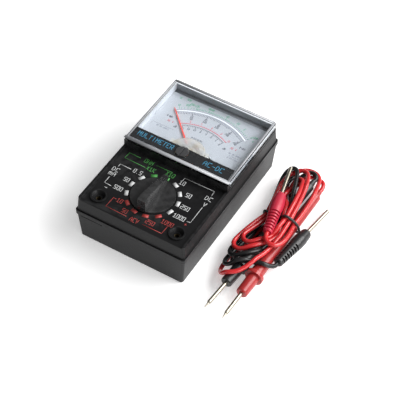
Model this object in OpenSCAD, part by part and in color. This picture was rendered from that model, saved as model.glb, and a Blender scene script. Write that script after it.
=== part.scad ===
// Pocket analog multimeter with a core-magnet movement, a thirteen-way range
// switch, one AA cell and a pair of test leads lying bundled beside it.
// The origin is the centre of the meter's flat bottom. The dial end is +Y and
// the jack end is -Y.

/* [Case] */
// Width across the parting lip
case_w = 60; // [58:0.5:64]
// Length along the parting lip
case_l = 90; // [88:0.5:94]
// Height of the parting line between the two shells
parting_z = 17.6; // [17:0.1:18]
// Height of the switch panel's surface
panel_z = 25.4; // [25.2:0.1:25.8]
// Height of the top of the window
window_z = 31.5; // [31.2:0.1:32.5]
// Wall thickness of the rear cover
wall = 1.8; // [1.4:0.1:2.0]
// Radius of the upright corners
corner_r = 1.4; // [1.2:0.1:3]

/* [Range switch] */
// Distance of the knob's axis from the centre of the case
knob_y = -23.55; // [-24:0.05:-23]
// Radius of the knob's disc
knob_r = 10.9; // [10:0.1:11]
// Angle of the knob's nose at the first range, left of straight ahead
knob_rest_angle = 3; // [0:0.5:6]
// Number of switch positions
ranges = 13; // [9:1:16]
// Radius of the circle of contact pads
contact_circle_r = 7.4; // [7:0.1:7.6]

/* [Meter movement] */
// Distance of the pointer's pivot from the centre of the case
pivot_y = 8.7; // [8.5:0.1:9]
// Length of the pointer from its pivot to its tip
pointer_len = 29.7; // [28:0.1:31]
// Full swing of the pointer in degrees
pointer_swing = 90; // [80:1:92]
// Radius of the core magnet
core_r = 4.6; // [4.4:0.1:4.7]

/* [Jacks] */
// Distance of each jack from the centre line
jack_x = 21.45; // [21:0.05:22]
// Distance of the jacks from the centre of the case
jack_y = -37; // [-37.5:0.1:-36.5]
// Radius of the hole that takes the plug's pin
jack_bore_r = 1.05; // [1.02:0.01:1.1]

/* [Test leads] */
// Diameter of the lead's cord
cord_d = 2.2; // [1.8:0.1:2.4]
// Radius of the plug pins and the probe rods
pin_r = 1; // [0.9:0.05:1.02]
// Overall length of a plug
plug_len = 45.2; // [43:0.1:46]
// Overall length of a probe
probe_len = 93; // [88:0.5:94]

/* [Hidden] */
$fn = 64;

// Case heights and widths that follow from the driving sizes
lip_h = 1.2;
rim_z = panel_z + 0.8;
ceiling_z = panel_z - 1.6;
shelf_z = panel_z + 0.1;
frame_top_z = 27.5;
window_t = 1.3;
window_under_z = window_z - window_t;
lower_w = case_w - 0.8;
lower_l = case_l - 0.8;
foot_w = case_w - 3;
foot_l = case_l - 2.6;
upper_w = case_w - 1;
upper_l = case_l - 1.4;
rim_w = case_w - 1.6;
rim_l = case_l - 3.2;
display_front_y = -3.9;
display_back_y = 43.6;
display_w = 57.6;
display_l = display_back_y - display_front_y;
display_mid_y = (display_back_y + display_front_y) / 2;
step_wall_t = 2;
window_wall = 1.2;

// Zero adjuster
zero_y = 2.5;
zero_head_r = 3.15;
zero_shaft_r = 1.6;
zero_pin_r = 0.5;
zero_pin_offset = 1.0;
fork_gap = 0.08;

// Movement levels, from the bottom upwards
frame_low_z = 9.6;
frame_floor_z = 11.4;
coil_low_z = 12.6;
coil_high_z = 24.2;
core_low_z = 14.4;
core_high_z = 22.4;
pointer_z = 26.5;
hairspring_z = 27.0;
bridge_z = 27.6;
bridge_t = 0.7;
arm_z = 28.45;
arm_t = 0.4;
yoke_in_r = 6.9;
yoke_out_r = 9.2;
frame_r = 11.4;
staff_r = 0.4;
rest_angle = 90 + pointer_swing / 2;

// Circuit board and parts on it
board_low_z = 16.9;
board_top_z = 18.5;
pot_x = -21.6;
pot_y = -14;
wheel_r = 8.2;
cell_r = 7.25;
cell_y = -24.3;
cell_z = 9.35;
fuse_y = -10;
fuse_z = 12.5;
case_screw_y = [-40, 38.5];
board_screw_at = [[-12, -39.5], [24.3, -9]];
movement_screw_x = 14.2;
dial_screw_at = [[-20, 2.5], [20, 2.5]];

// Where the lead parts lie: each runs from its first point to its second
red_plug_line = [[40.7, 39.2, 10], [51.4, -4.6, 12]];
black_plug_line = [[66.4, 30.9, 1.3], [62.4, -14.2, 6]];
red_probe_line = [[56.4, -55, 6.5], [57.7, 37.9, 3]];
black_probe_line = [[46, -53, 4.9], [53.2, 39.7, 6.4]];
plug_pin_len = 19.4;
slots_at = 12;
slot_pitch = 1.82;
slot_sweep = 136;
rod_len = 17;
flange_at = 29;
tail_at = probe_len - 2;

// Ring of wire that ties the bundle at its waist, leaning towards the dial end below
tie_w = 19.6;
tie_h = 13;
tie_top_z = 12.8;
tie_lean = 14;

// Routes of the stretches of cord that lie outside the hanks
red_route = [[51.4, -4.6, 12], [52.2, -8.2, 12.1], [54.2, -10.9, 12], [57.4, -10.9, 11.7],
    [59.9, -7.6, 11], [60.5, -2.5, 9.8], [59.8, 2.5, 9.2]];
red_tail_route = [[53, 45.4, 4.8], [56.6, 44.6, 4.2], [58.3, 42.2, 3.6], [57.7, 37.9, 3]];
black_route = [[62.4, -14.2, 6], [62.1, -17.6, 6.6], [60.3, -20.3, 8.2], [57.2, -20.9, 9.4],
    [54.2, -20.4, 8], [51.6, -20.6, 8]];
black_tail_route = [[44.8, 36, 3], [45.4, 41.6, 4.4], [48.4, 45, 5.6], [51.6, 45.4, 6.2],
    [53.7, 43, 6.4], [53.2, 39.7, 6.4]];
red_hank_line = [[45.6, -25.6], [55.2, -2], [56.8, 20], [51.4, 42.4]];
black_hank_line = [[44.6, -20], [48.6, 0], [46.4, 22], [44.4, 37.6]];

// Plain helpers

function unit(v) = v / norm(v);
function tangent(p, i) = unit(p[min(i + 1, len(p) - 1)] - p[max(i - 1, 0)]);
function side_of(t) = unit(cross(abs(t[2]) < 0.9 ? [0, 0, 1] : [1, 0, 0], t));
function ring(c, t, r, n) =
    let (a = side_of(t), b = cross(t, a))
    [for (k = [0 : n - 1]) c + r * (cos(360 * k / n) * a + sin(360 * k / n) * b)];
function blend4(a, b, c, d, t) =
    0.5 * (2 * b + (c - a) * t + (2 * a - 5 * b + 4 * c - d) * t * t
        + (3 * b - a - 3 * c + d) * t * t * t);
function smooth(p, steps) = concat(
    [for (i = [0 : len(p) - 2], s = [0 : steps - 1])
        blend4(p[max(i - 1, 0)], p[i], p[i + 1], p[min(i + 2, len(p) - 1)], s / steps)],
    [p[len(p) - 1]]);

// A closed tube of radius r that follows a list of points
module tube(p, r, n = 8) {
    rings = len(p);
    polyhedron(
        points = [for (i = [0 : rings - 1]) each ring(p[i], tangent(p, i), r, n)],
        faces = concat(
            [[for (k = [0 : n - 1]) k]],
            [for (i = [0 : rings - 2], k = [0 : n - 1])
                [i * n + k, (i + 1) * n + k, (i + 1) * n + (k + 1) % n, i * n + (k + 1) % n]],
            [[for (k = [n - 1 : -1 : 0]) (rings - 1) * n + k]]));
}

// Turns its children's +Z axis onto the line from the first point to the second
module lie_along(line) {
    d = line[1] - line[0];
    translate(line[0])
        rotate([0, acos(d[2] / norm(d)), atan2(d[1], d[0])])
            children();
}

module rounded_rect(w, l, r) {
    square([w - 2 * r, l], center = true);
    square([w, l - 2 * r], center = true);
    for (x = [-1, 1], y = [-1, 1])
        translate([x * (w / 2 - r), y * (l / 2 - r)])
            circle(r);
}

module slab(w, l, r, low, high) {
    translate([0, 0, low])
        linear_extrude(high - low)
            rounded_rect(w, l, r);
}

module box_at(low, high) {
    translate(low)
        cube(high - low);
}

module rod(r, low, high) {
    translate([0, 0, low])
        cylinder(r = r, h = high - low);
}

// A shell's solid outline that tapers from one rounded slab to the next
module taper(w1, l1, z1, w2, l2, z2, r) {
    hull() {
        slab(w1, l1, r, z1, z1 + 0.01);
        slab(w2, l2, r, z2 - 0.01, z2);
    }
}

// Flat spiral strip made of half circles whose centres step from side to side
module spiral(turns, start_r, pitch, thick, high) {
    for (i = [0 : 2 * turns - 1])
        translate([i % 2 == 0 ? 0 : pitch / 2, 0, 0])
            rotate([0, 0, i % 2 == 0 ? 0 : 180])
                rotate_extrude(angle = 180)
                    translate([start_r + i * pitch / 2, 0])
                        square([thick, high]);
}

// Case

module rear_cover() {
    color([0.13, 0.13, 0.14])
        difference() {
            union() {
                taper(foot_w - 0.8, foot_l - 0.8, 0, foot_w, foot_l, 0.5, corner_r);
                taper(foot_w, foot_l, 0.5, lower_w, lower_l, parting_z - lip_h, corner_r);
                slab(case_w, case_l, corner_r, parting_z - lip_h, parting_z);
            }
            difference() {
                taper(foot_w - 2 * wall, foot_l - 2 * wall, wall,
                    lower_w - 2 * wall, lower_l - 2 * wall, parting_z + 1, corner_r - 1);
                for (y = case_screw_y)
                    translate([0, y, 0])
                        rod(3.6, 0, parting_z + 2);
                cell_cradle();
            }
            for (y = case_screw_y)
                translate([0, y, 0]) {
                    rod(2.8, -1, 3);
                    rod(1.35, -1, parting_z + 2);
                }
            // Shallow field for a rating plate in the bottom
            slab(40, 30, 1, -1, 0.3);
            // Opening slot under the lip at the jack end
            box_at([-27, -case_l / 2 - 1, 15.3], [-15, -lower_l / 2 + 0.5, 15.9]);
        }
}

// Saddle ribs that carry the cell
module cell_cradle() {
    for (x = [-14, 14])
        difference() {
            box_at([x - 1, cell_y - 9, 0], [x + 1, cell_y + 9, 8]);
            translate([0, cell_y, cell_z])
                rotate([0, 90, 0])
                    cylinder(r = cell_r + 0.1, h = 60, center = true);
        }
}

module front_case() {
    color([0.13, 0.13, 0.14])
        difference() {
            union() {
                difference() {
                    union() {
                        slab(case_w, case_l, corner_r, parting_z, parting_z + lip_h);
                        taper(upper_w, upper_l, parting_z + lip_h, rim_w, rim_l, rim_z, corner_r);
                    }
                    taper(lower_w - 3.2, lower_l - 3.2, parting_z - 1,
                        rim_w - 3.2, rim_l - 3.2, ceiling_z, corner_r - 1);
                    switch_field();
                    // Underside of the ceiling, so that it ends in a flat face
                    box_at([-26, -rim_l / 2 - 5, panel_z], [26, -rim_l / 2 + 1, rim_z + 1]);
                }
                translate([0, display_mid_y, 0])
                    slab(display_w + 0.6, display_l, corner_r, rim_z - 1, frame_top_z);
                box_at([-display_w / 2, display_front_y, panel_z - 0.5],
                    [display_w / 2, display_front_y + step_wall_t, window_under_z]);
                jack_rings();
                front_bosses();
            }
            dial_pocket();
            selector_hole();
            jack_bowls();
            wheel_slot();
        }
}

// The sunken switch panel between the two side rims
module switch_field() {
    box_at([-27.9, -case_l / 2, panel_z], [27.9, display_front_y + 1, rim_z + 1]);
}

module dial_pocket() {
    box_at([-27.3, display_front_y + step_wall_t, shelf_z], [27.3, 42, frame_top_z + 4]);
    translate([0, pivot_y, 0])
        rod(10.95, ceiling_z - 1, shelf_z + 1);
    for (p = dial_screw_at)
        translate([p[0], p[1], 0])
            rod(0.95, ceiling_z - 1, shelf_z + 1);
}

module selector_hole() {
    translate([0, knob_y, 0]) {
        rod(knob_r + 0.4, panel_z - 0.8, panel_z + 2);
        rod(3.05, ceiling_z - 1, panel_z + 2);
        for (k = [0 : ranges - 1])
            rotate(k * 360 / ranges)
                translate([7, 0, ceiling_z])
                    sphere(r = 0.5, $fn = 24);
    }
}

module jack_rings() {
    for (x = [-jack_x, jack_x])
        translate([x, jack_y, 0]) {
            rod(4, panel_z - 1, rim_z);
            rod(3.4, board_top_z, panel_z);
        }
}

module jack_bowls() {
    for (x = [-jack_x, jack_x])
        translate([x, jack_y, 0]) {
            translate([0, 0, 24.2])
                cylinder(r1 = 2, r2 = 3.3, h = rim_z + 0.01 - 24.2);
            rod(1.3, 23, 25);
            rod(2.2, board_top_z - 1, 23.6);
        }
}

module front_bosses() {
    for (y = case_screw_y)
        translate([0, y, 0])
            difference() {
                rod(3.2, parting_z, ceiling_z + 0.5);
                rod(1.2, parting_z - 1, 22.6);
            }
    for (p = board_screw_at)
        translate([p[0], p[1], 0])
            difference() {
                rod(2.4, board_top_z, ceiling_z + 0.5);
                rod(0.9, board_top_z - 1, 22.6);
            }
}

module wheel_slot() {
    box_at([-case_w / 2 - 1, pot_y - 6.3, 19.5], [-27, pot_y + 6.3, 23.1]);
}

module window_cover() {
    color([0.86, 0.9, 0.92, 0.35])
        difference() {
            hull() {
                translate([0, display_mid_y, 0]) {
                    slab(display_w, display_l, corner_r, frame_top_z, window_z - 0.3);
                    slab(display_w - 0.5, display_l - 0.5, corner_r, window_z - 0.1, window_z);
                }
            }
            box_at([-display_w / 2 + window_wall, display_front_y + step_wall_t, frame_top_z - 1],
                [display_w / 2 - window_wall, display_back_y - window_wall, window_under_z]);
            box_at([-display_w, display_front_y - 2, frame_top_z - 1],
                [display_w, display_front_y + step_wall_t, window_under_z]);
            translate([0, zero_y, 0])
                rod(zero_shaft_r + 0.06, 28, 33);
        }
}

module band_label() {
    color([0.08, 0.09, 0.1])
        difference() {
            box_at([-27.2, -1.5, window_z], [27.2, 5.5, window_z + 0.12]);
            translate([0, zero_y, 0])
                rod(zero_head_r + 0.3, 30, 33);
        }
}

// Zero adjuster

module zero_adjust_screw() {
    color([0.2, 0.2, 0.21])
        translate([0, zero_y, 0])
            difference() {
                union() {
                    rod(zero_head_r, window_z + 0.1, window_z + 1);
                    rod(zero_shaft_r, 29.2, window_z + 0.1);
                    translate([0, -zero_pin_offset, 0])
                        rod(zero_pin_r, arm_z - 0.15, 29.2);
                }
                box_at([-0.4, -4, window_z + 0.4], [0.4, 4, window_z + 2]);
                difference() {
                    rod(zero_shaft_r + 1, 29.6, 30.1);
                    rod(1.35, 29.5, 30.2);
                }
            }
}

module zero_adjust_clip() {
    color([0.7, 0.71, 0.72])
        translate([0, zero_y, 0])
            difference() {
                rod(2.5, 29.6, 30.1);
                rod(1.35, 29, 31);
                box_at([1, -0.5, 29], [4, 0.5, 31]);
            }
}

module zero_arm() {
    hub_r = 2.1;
    fork_y = zero_y - zero_pin_offset - pivot_y;
    slot = zero_pin_r + fork_gap;
    color([0.78, 0.7, 0.45])
        translate([0, pivot_y, 0])
            difference() {
                union() {
                    rod(hub_r, arm_z, arm_z + arm_t);
                    box_at([-1.2, fork_y - 1.2, arm_z], [1.2, 0, arm_z + arm_t]);
                    // Tab that holds the outer end of the hairspring
                    box_at([-0.5, -4.9, hairspring_z], [0.5, -4.5, arm_z + arm_t]);
                }
                rod(1.06, arm_z - 1, arm_z + 1);
                box_at([-slot, fork_y - 2, arm_z - 1], [slot, fork_y + 1.2, arm_z + 1]);
            }
}

// Dial and movement

module dial_plate() {
    color([0.86, 0.88, 0.93])
        difference() {
            box_at([-27.1, display_front_y + step_wall_t + 0.2, shelf_z], [27.1, 39.7, shelf_z + 0.5]);
            // Notch that clears the movement
            box_at([-11.4, display_front_y, shelf_z - 1], [11.4, pivot_y + 1.5, shelf_z + 1]);
            translate([0, pivot_y + 1.5, 0])
                rod(4.2, shelf_z - 1, shelf_z + 1);
            for (p = dial_screw_at)
                translate([p[0], p[1], 0])
                    rod(0.9, shelf_z - 1, shelf_z + 1);
        }
}

module dial_screws() {
    color([0.75, 0.76, 0.78])
        for (p = dial_screw_at)
            translate([p[0], p[1], 0])
                difference() {
                    union() {
                        rod(0.9, ceiling_z + 0.2, shelf_z + 0.5);
                        rod(1.7, shelf_z + 0.5, shelf_z + 1.3);
                    }
                    box_at([-2, -0.2, shelf_z + 1], [2, 0.2, shelf_z + 2]);
                }
}

module pointer() {
    color([0.85, 0.2, 0.16])
        translate([0, pivot_y, 0])
            rotate(rest_angle)
                difference() {
                    union() {
                        translate([0, 0, pointer_z])
                            linear_extrude(0.3)
                                polygon([[0, -0.4], [pointer_len - 3, -0.24], [pointer_len, -0.12],
                                    [pointer_len, 0.12], [pointer_len - 3, 0.24], [0, 0.4]]);
                        box_at([-5.4, -0.4, pointer_z], [0, 0.4, pointer_z + 0.3]);
                        box_at([-0.4, -4.2, pointer_z], [0.4, 4.2, pointer_z + 0.3]);
                        for (p = [[-5, 0], [0, -3.9], [0, 3.9]])
                            translate([p[0], p[1], 0])
                                rod(0.6, pointer_z - 0.2, pointer_z + 0.4);
                        rod(1.2, pointer_z - 0.3, pointer_z + 0.3);
                    }
                    rod(staff_r, pointer_z - 1, pointer_z + 1);
                }
}

module moving_coil() {
    mid_z = (coil_low_z + coil_high_z) / 2;
    high = coil_high_z - coil_low_z;
    color([0.62, 0.24, 0.14])
        translate([0, pivot_y, 0])
            rotate(rest_angle)
                difference() {
                    translate([0, 0, mid_z])
                        cube([12.4, 4.4, high], center = true);
                    translate([0, 0, mid_z])
                        cube([10.4, 6, high - 2], center = true);
                }
}

module coil_staff() {
    color([0.8, 0.81, 0.83])
        translate([0, pivot_y, 0]) {
            rod(staff_r, coil_high_z, 27.1);
            translate([0, 0, 27.1])
                cylinder(r1 = staff_r, r2 = 0.05, h = 0.3);
            rod(staff_r, 11.75, coil_low_z);
            translate([0, 0, 11.45])
                cylinder(r1 = 0.05, r2 = staff_r, h = 0.3);
        }
}

module upper_hairspring() {
    color([0.8, 0.62, 0.3])
        translate([0, pivot_y, hairspring_z])
            rotate(-90)
                spiral(4, 0.9, 0.85, 0.15, 0.3);
}

module lower_hairspring() {
    color([0.8, 0.62, 0.3])
        translate([0, pivot_y, 12])
            rotate(-90)
                spiral(4, 0.9, 0.85, 0.15, 0.3);
}

module core_magnet() {
    color([0.4, 0.4, 0.42])
        translate([0, pivot_y, 0])
            rod(core_r, core_low_z, core_high_z);
}

module core_spacers() {
    color([0.78, 0.66, 0.3])
        translate([0, pivot_y, 0])
            intersection() {
                difference() {
                    rod(yoke_in_r, core_low_z, core_high_z);
                    rod(core_r, core_low_z - 1, core_high_z + 1);
                }
                box_at([-10, -0.9, core_low_z + 1], [10, 0.9, core_high_z - 1]);
            }
}

module yoke_ring() {
    color([0.55, 0.56, 0.58])
        translate([0, pivot_y, 0])
            difference() {
                rod(yoke_out_r, core_low_z, core_high_z);
                rod(yoke_in_r, core_low_z - 1, core_high_z + 1);
            }
}

module movement_frame() {
    color([0.88, 0.83, 0.66])
        translate([0, pivot_y, 0])
            difference() {
                union() {
                    rod(frame_r - 0.6, frame_low_z, ceiling_z);
                    box_at([-movement_screw_x - 2.4, -3, ceiling_z - 1.6],
                        [movement_screw_x + 2.4, 3, ceiling_z]);
                }
                rod(8.2, frame_floor_z, ceiling_z + 1);
                rod(yoke_out_r, core_low_z, ceiling_z + 1);
                rod(1, frame_low_z - 1, frame_floor_z + 1);
                for (x = [-movement_screw_x, movement_screw_x])
                    translate([x, 0, 0])
                        rod(0.9, ceiling_z - 3, ceiling_z + 1);
            }
}

module movement_screws() {
    color([0.75, 0.76, 0.78])
        for (x = [-movement_screw_x, movement_screw_x])
            translate([x, pivot_y, 0])
                union() {
                    rod(1.8, ceiling_z - 2.6, ceiling_z - 1.6);
                    rod(0.9, ceiling_z - 1.6, ceiling_z);
                }
}

module upper_bridge() {
    color([0.84, 0.78, 0.55])
        translate([0, pivot_y, 0])
            difference() {
                union() {
                    box_at([-10.4, -1.5, bridge_z], [10.4, 1.5, bridge_z + bridge_t]);
                    rod(2.4, bridge_z, bridge_z + bridge_t);
                    for (x = [-1, 1])
                        box_at([min(x * 9.5, x * 10.4), -1.5, ceiling_z],
                            [max(x * 9.5, x * 10.4), 1.5, bridge_z]);
                }
                rod(1, bridge_z - 1, bridge_z + 2);
            }
}

module upper_jewel_screw() {
    color([0.85, 0.72, 0.35])
        translate([0, pivot_y, 0])
            difference() {
                union() {
                    rod(1, 27.3, 29.2);
                    translate([0, 0, arm_z + arm_t + 0.1])
                        cylinder(r = 1.9, h = 0.7, $fn = 6);
                }
                rod(0.5, 27, 27.5);
                box_at([-2, -0.2, 29.4], [2, 0.2, 30]);
            }
}

module lower_jewel_screw() {
    color([0.85, 0.72, 0.35])
        translate([0, pivot_y, 0])
            difference() {
                union() {
                    rod(1, frame_low_z, 11.55);
                    rod(1.9, frame_low_z - 0.8, frame_low_z);
                }
                rod(0.5, 11.38, 12);
                box_at([-2, -0.2, 8], [2, 0.2, frame_low_z - 0.5]);
            }
}

// Circuit board, switch and small parts

module circuit_board() {
    color([0.35, 0.45, 0.2])
        difference() {
            box_at([-27, -42, board_low_z], [27, -5.5, board_top_z]);
            for (x = [-jack_x, jack_x])
                translate([x, jack_y, 0])
                    rod(2.2, 10, 20);
            translate([0, case_screw_y[0], 0])
                rod(4, 10, 20);
            for (p = board_screw_at)
                translate([p[0], p[1], 0])
                    rod(0.9, 10, 20);
            translate([0, knob_y, 0])
                rod(2.6, 10, 20);
        }
}

module board_screws() {
    color([0.75, 0.76, 0.78])
        for (p = board_screw_at)
            translate([p[0], p[1], 0]) {
                rod(1.8, board_low_z - 1, board_low_z);
                rod(0.9, board_low_z, 22.6);
            }
}

module switch_contacts() {
    color([0.85, 0.6, 0.25])
        translate([0, knob_y, board_top_z]) {
            for (k = [0 : ranges - 1])
                rotate(90 + k * 360 / ranges)
                    translate([contact_circle_r, 0, 0.05])
                        cube([2.6, 1.8, 0.1], center = true);
            difference() {
                cylinder(r = 5.2, h = 0.1);
                translate([0, 0, -1])
                    cylinder(r = 4, h = 2);
            }
        }
}

module selector_knob() {
    color([0.17, 0.17, 0.18])
        translate([0, knob_y, 0])
            difference() {
                union() {
                    rod(knob_r, panel_z - 0.7, panel_z + 0.8);
                    rod(3, 20.2, panel_z);
                    rotate(knob_rest_angle)
                        knob_handle();
                }
                rod(0.8, 20, 23);
            }
}

// Bar handle whose back stands upright and whose top falls in a hollow curve
// to a thin nose over the panel
module knob_handle() {
    intersection() {
        translate([-6, 0, 0])
            rotate([90, 0, 90])
                linear_extrude(12)
                    difference() {
                        polygon([[-11, panel_z + 0.5], [-11, 33.2], [-7.5, 33.6], [2, 31],
                            [13, panel_z + 2.4], [13, panel_z + 0.5]]);
                        translate([16.5, 48.6])
                            circle(r = 21.4, $fn = 96);
                    }
        translate([0, 0, panel_z])
            linear_extrude(12)
                polygon([[-2.1, -10.9], [2.1, -10.9], [1.4, 12.6], [0.9, 13], [-0.9, 13], [-1.4, 12.6]]);
    }
}

module wiper_carrier() {
    color([0.85, 0.84, 0.8])
        translate([0, knob_y, 0])
            difference() {
                rod(9, 20.5, 22.9);
                rod(3, 20, 23);
                translate([0, 7, 0])
                    rod(0.95, 21, 23);
            }
}

module carrier_screw() {
    color([0.75, 0.76, 0.78])
        translate([0, knob_y, 0]) {
            rod(2.4, 19.5, 20.2);
            rod(0.8, 20.2, 22.6);
        }
}

module wiper_springs() {
    color([0.86, 0.62, 0.3])
        translate([0, knob_y, 0])
            for (r = [4.6, contact_circle_r])
                rotate(90)
                    translate([r, 0, 0]) {
                        box_at([-0.6, 1, 20.3], [0.6, 4, 20.5]);
                        translate([0, 1.05, 20.3])
                            rotate([26, 0, 0])
                                box_at([-0.6, -3.4, 0], [0.6, 0, 0.2]);
                        translate([0, -2, 0])
                            rod(0.3, 18.68, 18.98);
                    }
}

module detent_ball() {
    color([0.8, 0.81, 0.83])
        translate([0, knob_y + 7, 22.83])
            sphere(r = 0.9, $fn = 48);
}

module detent_spring() {
    turns = 4;
    steps = 10;
    color([0.7, 0.71, 0.74])
        translate([0, knob_y + 7, 0])
            tube([for (i = [0 : turns * steps])
                [0.6 * cos(360 * i / steps), 0.6 * sin(360 * i / steps),
                    21.1 + 0.8 * i / (turns * steps)]], 0.09, 6);
}

module jack_socket_negative() {
    color([0.8, 0.68, 0.36])
        translate([-jack_x, jack_y, 0])
            jack_socket();
}

module jack_socket_positive() {
    color([0.8, 0.68, 0.36])
        translate([jack_x, jack_y, 0])
            jack_socket();
}

module jack_socket() {
    difference() {
        union() {
            rod(2.2, 9, 23.6);
            rod(3.2, board_low_z - 0.8, board_low_z);
        }
        rod(jack_bore_r, 10.6, 24);
    }
}

module ohm_adjust_wheel() {
    teeth = 40;
    color([0.16, 0.16, 0.17])
        translate([pot_x, pot_y, 19.9])
            linear_extrude(2.8)
                difference() {
                    circle(r = wheel_r, $fn = 96);
                    circle(r = 1.56);
                    for (k = [0 : teeth - 1])
                        rotate(k * 360 / teeth)
                            translate([wheel_r + 0.1, 0])
                                circle(r = 0.38, $fn = 16);
                }
}

module ohm_pot_base() {
    color([0.5, 0.36, 0.2])
        translate([pot_x, pot_y, 0]) {
            rod(5, board_top_z, 19.6);
            rod(1.5, 19.6, 23);
        }
}

module battery_cell() {
    color([0.75, 0.6, 0.25])
        translate([-24.6, cell_y, cell_z])
            rotate([0, 90, 0])
                union() {
                    rod(cell_r, 0, 48.6);
                    rod(2.75, 48.6, 49.8);
                }
}

module battery_spring() {
    turns = 4;
    steps = 12;
    color([0.8, 0.8, 0.82])
        translate([-26.7, cell_y, cell_z])
            rotate([0, 90, 0])
                union() {
                    tube([for (i = [0 : turns * steps])
                        let (a = 360 * i / steps, r = 4.6 - 2 * i / (turns * steps))
                        [r * cos(a), r * sin(a), 0.5 + 1.3 * i / (turns * steps)]], 0.22, 6);
                    rod(5, 0, 0.25);
                }
}

module battery_contact() {
    color([0.8, 0.8, 0.82])
        box_at([25.2, cell_y - 4, 4], [25.5, cell_y + 4, board_low_z]);
}

module fuse_glass() {
    color([0.85, 0.9, 0.92, 0.35])
        translate([0, fuse_y, fuse_z])
            rotate([0, 90, 0])
                difference() {
                    cylinder(r = 2.3, h = 12, center = true);
                    cylinder(r = 1.7, h = 14, center = true);
                }
}

module fuse_caps() {
    color([0.82, 0.83, 0.85])
        for (s = [-1, 1])
            translate([s * 8, fuse_y, fuse_z])
                rotate([0, 90, 0])
                    cylinder(r = 2.6, h = 4, center = true);
}

module fuse_clips() {
    color([0.78, 0.66, 0.4])
        for (s = [-1, 1])
            translate([s * 8, fuse_y, 0])
                difference() {
                    box_at([-1.5, -3, fuse_z - 1.4], [1.5, 3, board_low_z]);
                    translate([0, 0, fuse_z])
                        rotate([0, 90, 0])
                            cylinder(r = 2.6, h = 10, center = true);
                    box_at([-3, -2.2, fuse_z - 3], [3, 2.2, fuse_z]);
                }
}

resistor_at = [[-8, -13], [3.4, -13], [-8, -9.6], [3.4, -9.6], [14.6, -13]];

module resistor_bodies() {
    color([0.45, 0.62, 0.75])
        for (p = resistor_at)
            translate([p[0], p[1], 19.8])
                rotate([0, 90, 0])
                    union() {
                        cylinder(r = 0.95, h = 5.6, center = true);
                        for (s = [-2.2, 2.2])
                            translate([0, 0, s])
                                cylinder(r = 1.15, h = 1.4, center = true);
                    }
}

module resistor_leads() {
    color([0.8, 0.8, 0.82])
        for (p = resistor_at, s = [-1, 1])
            translate([p[0] + s * 2.9, p[1], 19.8])
                mirror([s < 0 ? 1 : 0, 0, 0])
                    union() {
                        rotate([0, 90, 0])
                            cylinder(r = 0.28, h = 0.9, $fn = 24);
                        translate([0.9, 0, -1.3])
                            cylinder(r = 0.28, h = 1.58, $fn = 24);
                    }
}

module rectifier_diodes() {
    color([0.7, 0.3, 0.18])
        for (x = [-6, -1, 4, 9])
            translate([x, -6.9, 19.6])
                rotate([0, 90, 0])
                    union() {
                        cylinder(r = 0.85, h = 2.8, center = true);
                        cylinder(r = 0.25, h = 4.2, center = true, $fn = 24);
                    }
}

module trim_pot() {
    color([0.2, 0.4, 0.75])
        difference() {
            box_at([11.8, -32.4, board_top_z], [17.8, -26.4, board_top_z + 3]);
            translate([14.8, -29.4, 0])
                rod(1.6, board_top_z + 2.5, board_top_z + 4);
        }
}

module case_screws() {
    color([0.6, 0.61, 0.63])
        for (y = case_screw_y)
            translate([0, y, 0])
                difference() {
                    union() {
                        rod(2.4, 1.4, 3);
                        rod(1.2, 3, 22.4);
                    }
                    for (a = [0, 90])
                        rotate(a)
                            box_at([-1.5, -0.3, 0], [1.5, 0.3, 2.2]);
                }
}

// Test leads

module plug_shell() {
    b = plug_pin_len;
    difference() {
        rotate_extrude($fn = 48)
            difference() {
                polygon([[0, b], [1.9, b], [2.4, b + 0.4], [2.7, b + 1.2], [3.3, b + 6], [3.3, b + 9.5],
                    [3.1, b + 11.4], [2.3, plug_len - 0.6], [1.9, plug_len], [0, plug_len]]);
                square([pin_r, b + 4]);
            }
        // Two staggered rows of slots make the tail flexible
        for (k = [0 : 6], side = [0, 1])
            translate([0, 0, b + slots_at + (k + side / 2) * slot_pitch])
                rotate(180 * side + (180 - slot_sweep) / 2)
                    rotate_extrude(angle = slot_sweep)
                        translate([1.7 - 0.05 * k, 0])
                            square([2, 1]);
    }
}

module plug_rod() {
    rotate_extrude($fn = 48)
        polygon([[0, 0], [pin_r - 0.4, 0], [pin_r, 0.5], [pin_r, plug_pin_len + 4], [0, plug_pin_len + 4]]);
}

module probe_shell() {
    rotate_extrude($fn = 48)
        difference() {
            polygon([[0, rod_len], [2.4, rod_len], [2.8, rod_len + 0.5], [3, flange_at - 1],
                [4.5, flange_at - 0.9], [4.5, flange_at + 0.9], [3.3, flange_at + 1.4],
                [3, flange_at + 20], [2.5, tail_at - 2], [1.7, tail_at - 1.5], [1.5, tail_at],
                [1.3, probe_len], [0, probe_len]]);
            square([pin_r, rod_len + 5]);
        }
}

module probe_rod() {
    rotate_extrude($fn = 48)
        polygon([[0, 0], [0.15, 0], [0.6, 3], [pin_r, 3.6], [pin_r, rod_len + 5], [0, rod_len + 5]]);
}

module red_plug_body() {
    color([0.72, 0.1, 0.16])
        lie_along(red_plug_line)
            plug_shell();
}

module red_plug_pin() {
    color([0.86, 0.84, 0.78])
        lie_along(red_plug_line)
            plug_rod();
}

module black_plug_body() {
    color([0.1, 0.1, 0.11])
        lie_along(black_plug_line)
            plug_shell();
}

module black_plug_pin() {
    color([0.86, 0.84, 0.78])
        lie_along(black_plug_line)
            plug_rod();
}

module red_probe_body() {
    color([0.6, 0.12, 0.1])
        lie_along(red_probe_line)
            probe_shell();
}

module red_probe_rod() {
    color([0.86, 0.84, 0.78])
        lie_along(red_probe_line)
            probe_rod();
}

module black_probe_body() {
    color([0.1, 0.1, 0.11])
        lie_along(black_probe_line)
            probe_shell();
}

module black_probe_rod() {
    color([0.86, 0.84, 0.78])
        lie_along(black_probe_line)
            probe_rod();
}

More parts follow.
